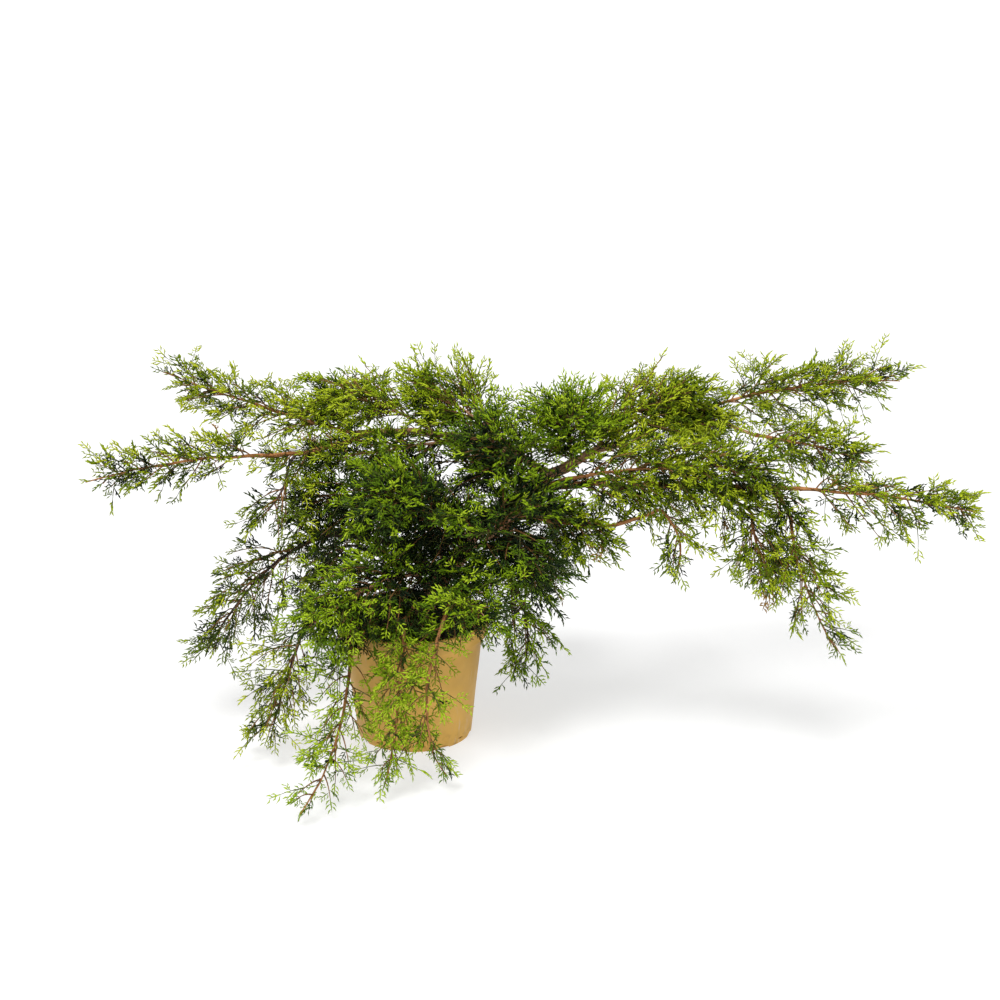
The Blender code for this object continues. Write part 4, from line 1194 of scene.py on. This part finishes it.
# Chips: stations along their length, width of the two ends beside the middle, draws of width and
# thickness, and how far corners stray
CHIP_STATIONS = ((-0.5, 0.55), (-0.12, 1.0), (0.2, 1.0), (0.5, 0.55))
CHIP_WIDTH_DRAW, CHIP_THICKNESS_DRAW = (0.32, 0.6), (0.14, 0.26)
CHIP_STRAY = 0.07


def chip_mesh(number):
    """One splintery chip, about one metre long, of few faces."""
    draw = random.Random(900 + number)
    across, thick = draw.uniform(*CHIP_WIDTH_DRAW), draw.uniform(*CHIP_THICKNESS_DRAW)
    corners = []
    for x, share in CHIP_STATIONS:
        broad = across * share
        for y, z in ((-1, -1), (1, -1), (1, 1), (-1, 1)):
            stray = [draw.uniform(-CHIP_STRAY, CHIP_STRAY) for _ in range(3)]
            corners.append(Vector((x, 0.5 * y * broad, 0.5 * z * thick)) + Vector(stray))
    faces = [(3, 2, 1, 0), (12, 13, 14, 15)]
    for k in range(3):
        for i in range(4):
            j = (i + 1) % 4
            faces.append((4 * k + i, 4 * k + j, 4 * k + 4 + j, 4 * k + 4 + i))
    mesh = bpy.data.meshes.new(f"chip_{number}")
    mesh.from_pydata(corners, [], faces)
    return mesh


def stock(name, meshes):
    """Collection of shapes to be dealt out, outside the scene."""
    kept = bpy.data.collections.new(name)
    for mesh in meshes:
        kept.objects.link(bpy.data.objects.new(mesh.name, mesh))
    return kept


def clear_stock(kept):
    """Remove the shapes once they are dealt out."""
    for shape in list(kept.objects):
        bpy.data.meshes.remove(shape.data)
    bpy.data.collections.remove(kept)


# How far a chip tilts, in radians, and the least and greatest share of the usual size
CHIP_TILT = 0.45
CHIP_SIZES = (0.35, 1.5)
# Least upward part of a face's normal, and share of the soil's radius, for chips to lie there
CHIP_SLOPE = 0.3
CHIP_REACH = 0.96
CHIP_KINDS = 5


def new_tree(name, *further):
    """Geometry node tree with named inputs, and the nodes at its two ends."""
    tree = bpy.data.node_groups.new(name, "GeometryNodeTree")
    inputs = [("Geometry", "NodeSocketGeometry"), ("Shapes", "NodeSocketCollection"),
              ("Seed", "NodeSocketInt"), ("Material", "NodeSocketMaterial"), *further]
    for label, kind in inputs:
        tree.interface.new_socket(label, in_out="INPUT", socket_type=kind)
    tree.interface.new_socket("Geometry", in_out="OUTPUT", socket_type="NodeSocketGeometry")
    return tree, tree.nodes.new("NodeGroupInput"), tree.nodes.new("NodeGroupOutput")


def end_tree(tree, start, end, geometry):
    """Last steps of every tree: instances made real, then the material."""
    real = new_node(tree, "GeometryNodeRealizeInstances", {"Geometry": geometry})
    finish = new_node(tree, "GeometryNodeSetMaterial", {
        "Geometry": real.outputs["Geometry"], "Material": start.outputs["Material"]})
    tree.links.new(finish.outputs["Geometry"], end.inputs["Geometry"])


def random_value(tree, start, kind, low, high):
    """Random value of each point, fixed by the seed input."""
    node = new_node(tree, "FunctionNodeRandomValue", {"Seed": start.outputs["Seed"]}, data_type=kind)
    type_of = {"INT": "INT", "FLOAT": "VALUE", "FLOAT_VECTOR": "VECTOR"}[kind]
    for name, value in (("Min", low), ("Max", high)):
        for socket in node.inputs:
            if socket.name == name and socket.type == type_of:
                socket.default_value = value
    return [socket for socket in node.outputs if socket.type == type_of][0]


def picked_shapes(tree, start, number):
    """Instance node that takes one shape of the collection at each point."""
    shapes = new_node(tree, "GeometryNodeCollectionInfo", {
        "Separate Children": True, "Reset Children": True, "Collection": start.outputs["Shapes"]})
    return new_node(tree, "GeometryNodeInstanceOnPoints", {
        "Pick Instance": True, "Instance": shapes.outputs["Instances"],
        "Instance Index": random_value(tree, start, "INT", 0, number - 1)})


def branchlet_tree(number):
    """Deals a branchlet to every point, turned to its heading and face and scaled to its size."""
    tree, start, end = new_tree("deal_branchlets")
    placed = picked_shapes(tree, start, number)

    def carried(name, kind):
        node = new_node(tree, "GeometryNodeInputNamedAttribute", {}, data_type=kind)
        node.inputs["Name"].default_value = name
        return node.outputs["Attribute"]

    turn = new_node(tree, "FunctionNodeAxesToRotation", {
        0: carried("heading", "FLOAT_VECTOR"), 1: carried("face", "FLOAT_VECTOR")},
        primary_axis="X", secondary_axis="Z")
    for socket, value in (("Scale", carried("size", "FLOAT")), ("Rotation", turn.outputs["Rotation"]),
                          ("Points", start.outputs["Geometry"])):
        tree.links.new(value, placed.inputs[socket])
    end_tree(tree, start, end, placed.outputs["Instances"])
    return tree


def chip_tree(number):
    """Scatters chips over a surface, each turned and sized at random."""
    tree, start, end = new_tree("scatter_chips", ("Density", "NodeSocketFloat"), ("Size", "NodeSocketFloat"))
    spread = new_node(tree, "GeometryNodeDistributePointsOnFaces", {
        "Mesh": start.outputs["Geometry"], "Density": start.outputs["Density"],
        "Seed": start.outputs["Seed"]})
    placed = picked_shapes(tree, start, number)
    turn = random_value(tree, start, "FLOAT_VECTOR",
                        (-CHIP_TILT, -CHIP_TILT, 0), (CHIP_TILT, CHIP_TILT, math.tau))
    share = random_value(tree, start, "FLOAT", *CHIP_SIZES)
    size = new_node(tree, "ShaderNodeMath", {0: share, 1: start.outputs["Size"]}, operation="MULTIPLY")
    for socket, value in (("Points", spread.outputs["Points"]), ("Rotation", turn),
                          ("Scale", size.outputs["Value"])):
        tree.links.new(value, placed.inputs[socket])
    end_tree(tree, start, end, placed.outputs["Instances"])
    return tree


def run_tree(tree, mesh, **values):
    """Result of a tree on a mesh, its named inputs set first, as a plain mesh."""
    holder = put("holder", mesh)
    run = holder.modifiers.new("grow", "NODES")
    run.node_group = tree
    for socket in tree.interface.items_tree:
        if socket.in_out == "INPUT" and socket.name in values:
            run[socket.identifier] = values[socket.name]
    result = plain_result(holder)
    bpy.data.meshes.remove(mesh)
    return result


# Sides of a limb: the width of each in metres, and the least and most of them
LIMB_SIDE = 0.0011
LIMB_SIDES = (9, 40)
# Flare at the root of a limb and its reach, as shares of the radius there
LIMB_FLARE, LIMB_FLARE_REACH = 0.35, 2.2
# Steps of the rounded ends: share of the thickness at the root, turns in radians at the tip
ROOT_END = ((0, 0.05), (0, 0.6))
TIP_TURNS = (0.5, 1.0, 1.4)
# How fast the relief runs along a limb, and its finer part beside the coarser one
RELIEF_RUN = 34
WANDER_RUN = 26
FINE_RELIEF = 0.5
# Swelling at a child: reach in radii, and its share all round and towards the child
SWELL_REACH = 1.5
SWELL_ROUND, SWELL_TOWARDS = 0.45, 0.55
# How far apart the three parts of a wander are read from the noise
WANDER_OFFSETS = (0.0, 31.7, 67.3)


def wander(at):
    """Smooth wander in three directions from plain noise, so that it is the same each run."""
    return Vector([noise.noise(at + Vector((far, far, far))) for far in WANDER_OFFSETS])


def limb_skin(route, thick, thin, children, plan, seed):
    """Closed limb with fibrous relief, a swelling at each child and rounded ends: its corners,
    faces and the grain vector of each corner."""
    fewest, most = LIMB_SIDES
    sides = min(most, max(fewest, round(math.tau * thick / LIMB_SIDE)))
    sides += sides % 2
    rings = max(6, round(route.length / plan.ring_step))
    grain_start = 3.7 * seed
    corners, grain = [], []
    swollen = [(at * route.length, course.normalized()) for at, course in children]
    flare = FLARE_RADIUS if seed == 0 else LIMB_FLARE * thick
    reach = FLARE_REACH * route.length if seed == 0 else LIMB_FLARE_REACH * thick
    steps = [*(ROOT_END if seed else ()), *((k / rings, 1.0) for k in range(rings + 1))]
    steps += [(1 + thin * math.sin(turn) / route.length, math.cos(turn)) for turn in TIP_TURNS]
    for t, round_end in steps:
        inside = min(t, 1.0)
        heading = route.heading(inside)
        place = route.point(inside) + (t - inside) * route.length * heading
        if seed == 0 and t == 0:
            heading = UP
        lateral = (route.side - heading * route.side.dot(heading)).normalized()
        across = heading.cross(lateral)
        run = t * route.length
        radius = thick + (thin - thick) * inside + flare * math.exp(-run / reach)
        drift = plan.waver * radius * math.sin(math.pi * inside)
        place = place + drift * wander(Vector((seed * 1.3, WANDER_RUN * run, 0.5)))
        for i in range(sides):
            turn = math.tau * i / sides
            out = math.cos(turn) * lateral + math.sin(turn) * across
            at = Vector((math.cos(turn) * 1.4, math.sin(turn) * 1.4, grain_start + RELIEF_RUN * run))
            fine = noise.noise(Vector((3.1 * at.x, 3.1 * at.y, 0.8 * at.z + 9)))
            relief = noise.noise(at) + FINE_RELIEF * fine
            swell = sum(math.exp(-((run - far) / (SWELL_REACH * radius)) ** 2)
                        * (SWELL_ROUND + SWELL_TOWARDS * out.dot(course)) for far, course in swollen)
            grown = radius * round_end * (1 + plan.relief * relief + plan.knot * max(0.0, swell))
            corners.append(place + grown * out)
            grain.append((thick * math.cos(turn), thick * math.sin(turn), grain_start + run))
    count = len(steps)
    ring = np.arange(sides)
    following = (ring + 1) % sides
    fans = [(following * 0 + count * sides, following, ring),
            (following * 0 + count * sides + 1, (count - 1) * sides + ring, (count - 1) * sides + following)]
    corners += [sum(corners[:sides], Vector()) / sides, sum(corners[-sides:], Vector()) / sides]
    grain += [grain[0], grain[-1]]
    triangles = np.concatenate([np.stack(fan, axis=-1) for fan in fans])
    quads = ring_quads(np.arange(count - 1) * sides, sides)
    return np.array(corners), quads, triangles, np.array(grain)


def bark_kind(name):
    """Bark that a limb wears: its own, or else that of the limb it grows on."""
    for kind, names in BARK_KINDS.items():
        if name in names:
            return kind
    return bark_kind({**BOUGHS, **MASSES}[name].parent)


def limb_pieces(plan):
    """Trunk, boughs and stems with relief, joined by the kind of their bark."""
    routes = limb_routes()
    plans = {**BOUGHS, **MASSES}
    sizes = {"trunk": (TRUNK_RADIUS, TRUNK_TOP_RADIUS)}
    for name, limb in BOUGHS.items():
        sizes[name] = (limb.thick, limb.thin)
    for name, limb in MASSES.items():
        first = sizes[limb.parent][1] if limb.at == 1 else STEM_ROOT_RADIUS
        sizes[name] = (min(first, STEM_ROOT_RADIUS), STEM_TIP_RADIUS)
    joined = {kind: [] for kind in BARK_KINDS}
    for seed, (name, (thick, thin)) in enumerate(sizes.items()):
        children = [(limb.at, routes[child].heading(0)) for child, limb in plans.items()
                    if limb.parent == name and limb.at < 1]
        joined[bark_kind(name)].append(limb_skin(routes[name], thick, thin, children, plan, seed))
    for kind, parts in joined.items():
        starts = np.cumsum([0] + [len(part[0]) for part in parts])
        corners = np.concatenate([part[0] for part in parts])
        quads = np.concatenate([part[1] + start for part, start in zip(parts, starts)])
        triangles = np.concatenate([part[2] + start for part, start in zip(parts, starts)])
        mesh = mesh_from(f"bark_{kind}", corners, [quads, triangles])
        carry(mesh, "grain", np.concatenate([part[3] for part in parts]))
        nodes = [name for name in sizes if name not in MASSES and bark_kind(name) == kind]
        yield kind, mesh, nodes


# Tip radius of twigs and ribs as a share of the root's, and their sides and rings
TWIG_TAPER = 0.4
TWIG_TUBE = (5, 8)
RIB_TUBE = (3, 4)


def twig_mesh(name, grown, root_radius, sides, rings):
    """Closed tapering tubes along many routes."""
    arrays = [part[:, None, :] for part in curve_arrays([twig.route for twig in grown])]
    side = np.array([twig.route.side for twig in grown])[:, None, :]
    t = np.linspace(0, 1, rings + 1)
    place, heading = along(arrays, t[:, None])
    lateral = unit(side - heading * np.sum(side * heading, axis=-1, keepdims=True))
    across = np.cross(heading, lateral)
    turn = np.arange(sides) * math.tau / sides
    tip_radius = TWIG_TAPER * root_radius
    radius = (root_radius + (tip_radius - root_radius) * t)[None, :, None, None]
    ring = np.cos(turn)[:, None] * lateral[:, :, None, :] + np.sin(turn)[:, None] * across[:, :, None, :]
    corners = (place[:, :, None, :] + radius * ring).reshape(-1, 3)
    first = (np.arange(len(grown)) * (rings + 1) * sides)[:, None]
    quads = ring_quads(first + np.arange(rings) * sides, sides)
    feet = first + np.arange(sides)[::-1]
    ends = first + rings * sides + np.arange(sides)
    return mesh_from(name, corners, [quads, np.concatenate([feet, ends])])


def points_mesh(place, heading, face, size):
    """Loose points that carry the heading, face and size of the branchlet each one takes."""
    mesh = bpy.data.meshes.new("points")
    mesh.vertices.add(len(place))
    mesh.vertices.foreach_set("co", place.astype(np.float32).ravel())
    for name, values in (("heading", heading), ("face", face), ("size", size)):
        carry(mesh, name, values)
    return mesh


def nodes_of(region):
    """Packed masses of a region."""
    return [name for name, mass in MASSES.items() if region_of(mass) == region]


class JUNIPER_OT_pot(bpy.types.Operator):
    """Turn the nursery pot and cut its drain openings"""

    bl_idname = "juniper.pot"
    bl_label = "Make pot"

    def execute(self, context):
        plan = context.scene.juniper_pot
        add_piece("pot_shell", pot_mesh(plan), pot_finish(plan), "pot_plastic", ["pot"])
        return {"FINISHED"}


class JUNIPER_OT_soil(bpy.types.Operator):
    """Fill the pot with lumpy soil and scatter chips on it"""

    bl_idname = "juniper.soil"
    bl_label = "Make soil"

    def execute(self, context):
        plan = context.scene.juniper_soil
        surface = soil_mesh(plan, context.scene.juniper_pot)
        finish = soil_finish("peat", plan.colour, 2.6, 420)
        chips = soil_finish("chips", plan.chip_colour, 2.2, 300)
        kept = stock("chips", [chip_mesh(number) for number in range(CHIP_KINDS)])
        top = surface.copy()
        with edited(top) as work:
            bare = [face for face in work.faces if face.normal.z < CHIP_SLOPE
                    or face.calc_center_median().xy.length > CHIP_REACH * SOIL_HIGH.x]
            bmesh.ops.delete(work, geom=bare, context="FACES")
        litter = run_tree(chip_tree(CHIP_KINDS), top, Shapes=kept, Seed=plan.seed, Material=chips,
                          Density=plan.chips, Size=plan.chip_size)
        clear_stock(kept)
        add_piece("soil_surface", surface, finish, "potting_soil", ["soil"])
        add_piece("soil_chips", litter, chips, "potting_soil", ["soil"], smooth=False)
        return {"FINISHED"}


# Worn places of the bark: its colour times a share, and what is added as grey
WORN_SHARE, WORN_GREY = 1.25, 0.03


class JUNIPER_OT_limbs(bpy.types.Operator):
    """Skin the trunk, boughs and stems with bark"""

    bl_idname = "juniper.limbs"
    bl_label = "Make limbs"

    def execute(self, context):
        plan = context.scene.juniper_bark
        colours = {"old": plan.old, "young": plan.young, "dark": plan.dark}
        for kind, mesh, nodes in limb_pieces(plan):
            name = f"bark_{kind}"
            worn = [WORN_SHARE * channel + WORN_GREY for channel in colours[kind]]
            add_piece(name, mesh, bark_finish(name, colours[kind], worn), "bark", nodes)
        return {"FINISHED"}


class JUNIPER_OT_twigs(bpy.types.Operator):
    """Grow the twigs and the ribs of the sprays"""

    bl_idname = "juniper.twigs"
    bl_label = "Make twigs"

    def execute(self, context):
        plan = context.scene.juniper_foliage
        twigs_grown, sprays_grown = grow(plan)
        brown = twig_finish("twig_bark", plan.twig, scaled(plan.twig, 2.2))
        olive = twig_finish("rib_bark", plan.rib, scaled(plan.rib, 1.8))
        kinds = (("twigs", twigs_grown, plan.twig_radius, TWIG_TUBE, brown, "bark"),
                 ("ribs", sprays_grown, plan.rib_radius, RIB_TUBE, olive, "foliage_mid"))
        for region in REGIONS:
            for kind, grown, radius, tube, finish, slot in kinds:
                name = f"{kind}_{region}"
                chosen = [twig for twig in grown if twig.region == region]
                add_piece(name, twig_mesh(name, chosen, radius, *tube), finish, slot, nodes_of(region))
        return {"FINISHED"}


class JUNIPER_OT_foliage(bpy.types.Operator):
    """Deal branchlets of shoots to every twig, spray and stem end, joined by shade and side"""

    bl_idname = "juniper.foliage"
    bl_label = "Make foliage"

    def execute(self, context):
        plan = context.scene.juniper_foliage
        twigs_grown, sprays_grown = grow(plan)
        kept = stock("branchlets", [branchlet_mesh(number, plan) for number in range(plan.kinds)])
        tree = branchlet_tree(plan.kinds)
        for order, (region, warmth) in enumerate(REGIONS.items()):
            seed = plan.seed * 100 + order
            greens = {}
            for shade in TINT_SLOT:
                red, green, blue = getattr(plan, shade)
                greens[shade] = green_finish(f"foliage_{shade}_{region}", (warmth * red, green, blue))
            chosen = [twig for twig in twigs_grown + sprays_grown if twig.region == region]
            *carried, shades = branchlet_points(chosen, plan, seed)
            for number, (shade, green) in enumerate(greens.items()):
                points = points_mesh(*[values[shades == number] for values in carried])
                mesh = run_tree(tree, points, Shapes=kept, Seed=seed, Material=green)
                name = f"foliage_{shade}_{region}"
                add_piece(name, mesh, green, TINT_SLOT[shade], nodes_of(region))
        clear_stock(kept)
        return {"FINISHED"}


WHITE = (1.0, 1.0, 1.0, 1.0)
FLOOR_SIDES = 96
# Heights of the view's direction between which the bright horizon fades into the even sky
HORIZON_FADE = (0.03, 0.08)


class JUNIPER_OT_stage(bpy.types.Operator):
    """Set the camera, the soft lights and the pale floor"""

    bl_idname = "juniper.stage"
    bl_label = "Set stage"

    def execute(self, context):
        plan = context.scene.juniper_stage
        scene = context.scene
        eye = put("camera", bpy.data.cameras.new("camera"))
        eye.location = plan.camera
        eye.rotation_euler = (math.pi / 2 - plan.pitch, 0, 0)
        eye.data.lens = plan.lens
        eye.data.clip_end = 2 * plan.floor
        scene.camera = eye
        turns = [math.tau * i / FLOOR_SIDES for i in range(FLOOR_SIDES)]
        ring = [(plan.floor * math.cos(turn), plan.floor * math.sin(turn), 0) for turn in turns]
        ground = bpy.data.meshes.new("floor")
        ground.from_pydata(ring, [], [tuple(range(FLOOR_SIDES))])
        floor = put("floor", ground)
        finish = Finish("floor_white", 0.9, 0.0)
        finish.shader.inputs["Base Color"].default_value = (plan.floor_tone,) * 3 + (1.0,)
        finish.shader.inputs["Emission Color"].default_value = WHITE
        finish.shader.inputs["Emission Strength"].default_value = plan.floor_glow
        ground.materials.append(finish.material)
        floor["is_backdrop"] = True
        for name, power, width, turn in (("key", plan.key, plan.key_width, plan.key_turn),
                                         ("fill", plan.fill, plan.fill_width, plan.fill_turn)):
            lamp = bpy.data.lights.new(name, "SUN")
            lamp.energy = power
            lamp.angle = width
            light = put(name, lamp)
            light.location = (0, 0, 2)
            light.rotation_euler = turn
        world = bpy.data.worlds.new("studio")
        scene.world = world
        world.use_nodes = True
        tree = world.node_tree
        sky = tree.nodes["Background"]
        sky.inputs["Color"].default_value = WHITE
        course = tree.nodes.new("ShaderNodeTexCoord").outputs["Generated"]
        rise = new_node(tree, "ShaderNodeSeparateXYZ", {"Vector": course})
        low, high = HORIZON_FADE
        fade = new_node(tree, "ShaderNodeMapRange", {
            "From Min": low, "From Max": high, "To Min": plan.horizon, "To Max": plan.sky,
            "Value": rise.outputs["Z"]})
        tree.links.new(fade.outputs["Result"], sky.inputs["Strength"])
        scene.view_settings.view_transform = "Standard"
        return {"FINISHED"}


class JUNIPER_PT_panel(bpy.types.Panel):
    """Settings and steps of the potted juniper"""

    bl_idname = "JUNIPER_PT_panel"
    bl_label = "Potted juniper"
    bl_space_type = "VIEW_3D"
    bl_region_type = "UI"
    bl_category = "Juniper"

    def draw(self, context):
        for name, (settings, steps) in SECTIONS.items():
            box = self.layout.box()
            box.label(text=name.capitalize())
            for setting in settings.__annotations__:
                box.prop(getattr(context.scene, f"juniper_{name}"), setting)
            for step in steps:
                box.operator(step.bl_idname)


SECTIONS = {
    "pot": (PotSettings, (JUNIPER_OT_pot,)),
    "soil": (SoilSettings, (JUNIPER_OT_soil,)),
    "bark": (BarkSettings, (JUNIPER_OT_limbs,)),
    "foliage": (FoliageSettings, (JUNIPER_OT_twigs, JUNIPER_OT_foliage)),
    "stage": (StageSettings, (JUNIPER_OT_stage,)),
}


def register():
    """Make the settings, steps and panel known to Blender."""
    for name, (settings, steps) in SECTIONS.items():
        for made in (settings, *steps):
            bpy.utils.register_class(made)
        setattr(bpy.types.Scene, f"juniper_{name}", bpy.props.PointerProperty(type=settings))
    bpy.utils.register_class(JUNIPER_PT_panel)


def unregister():
    """Take everything back that register made known."""
    bpy.utils.unregister_class(JUNIPER_PT_panel)
    for name, (settings, steps) in reversed(SECTIONS.items()):
        delattr(bpy.types.Scene, f"juniper_{name}")
        for made in (*reversed(steps), settings):
            bpy.utils.unregister_class(made)


def main():
    """Run every step in turn."""
    register()
    for section in SECTIONS.values():
        for step in section[1]:
            name = step.bl_idname.split(".")[1]
            if getattr(bpy.ops.juniper, name)() != {"FINISHED"}:
                raise RuntimeError(f"{step.bl_label} did not finish")
    boxes = {"cad": CAD_BOX, "visual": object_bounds()}
    {name: [list(corner) for corner in box] for name, box in boxes.items()}


if __name__ == "__main__":
    main()
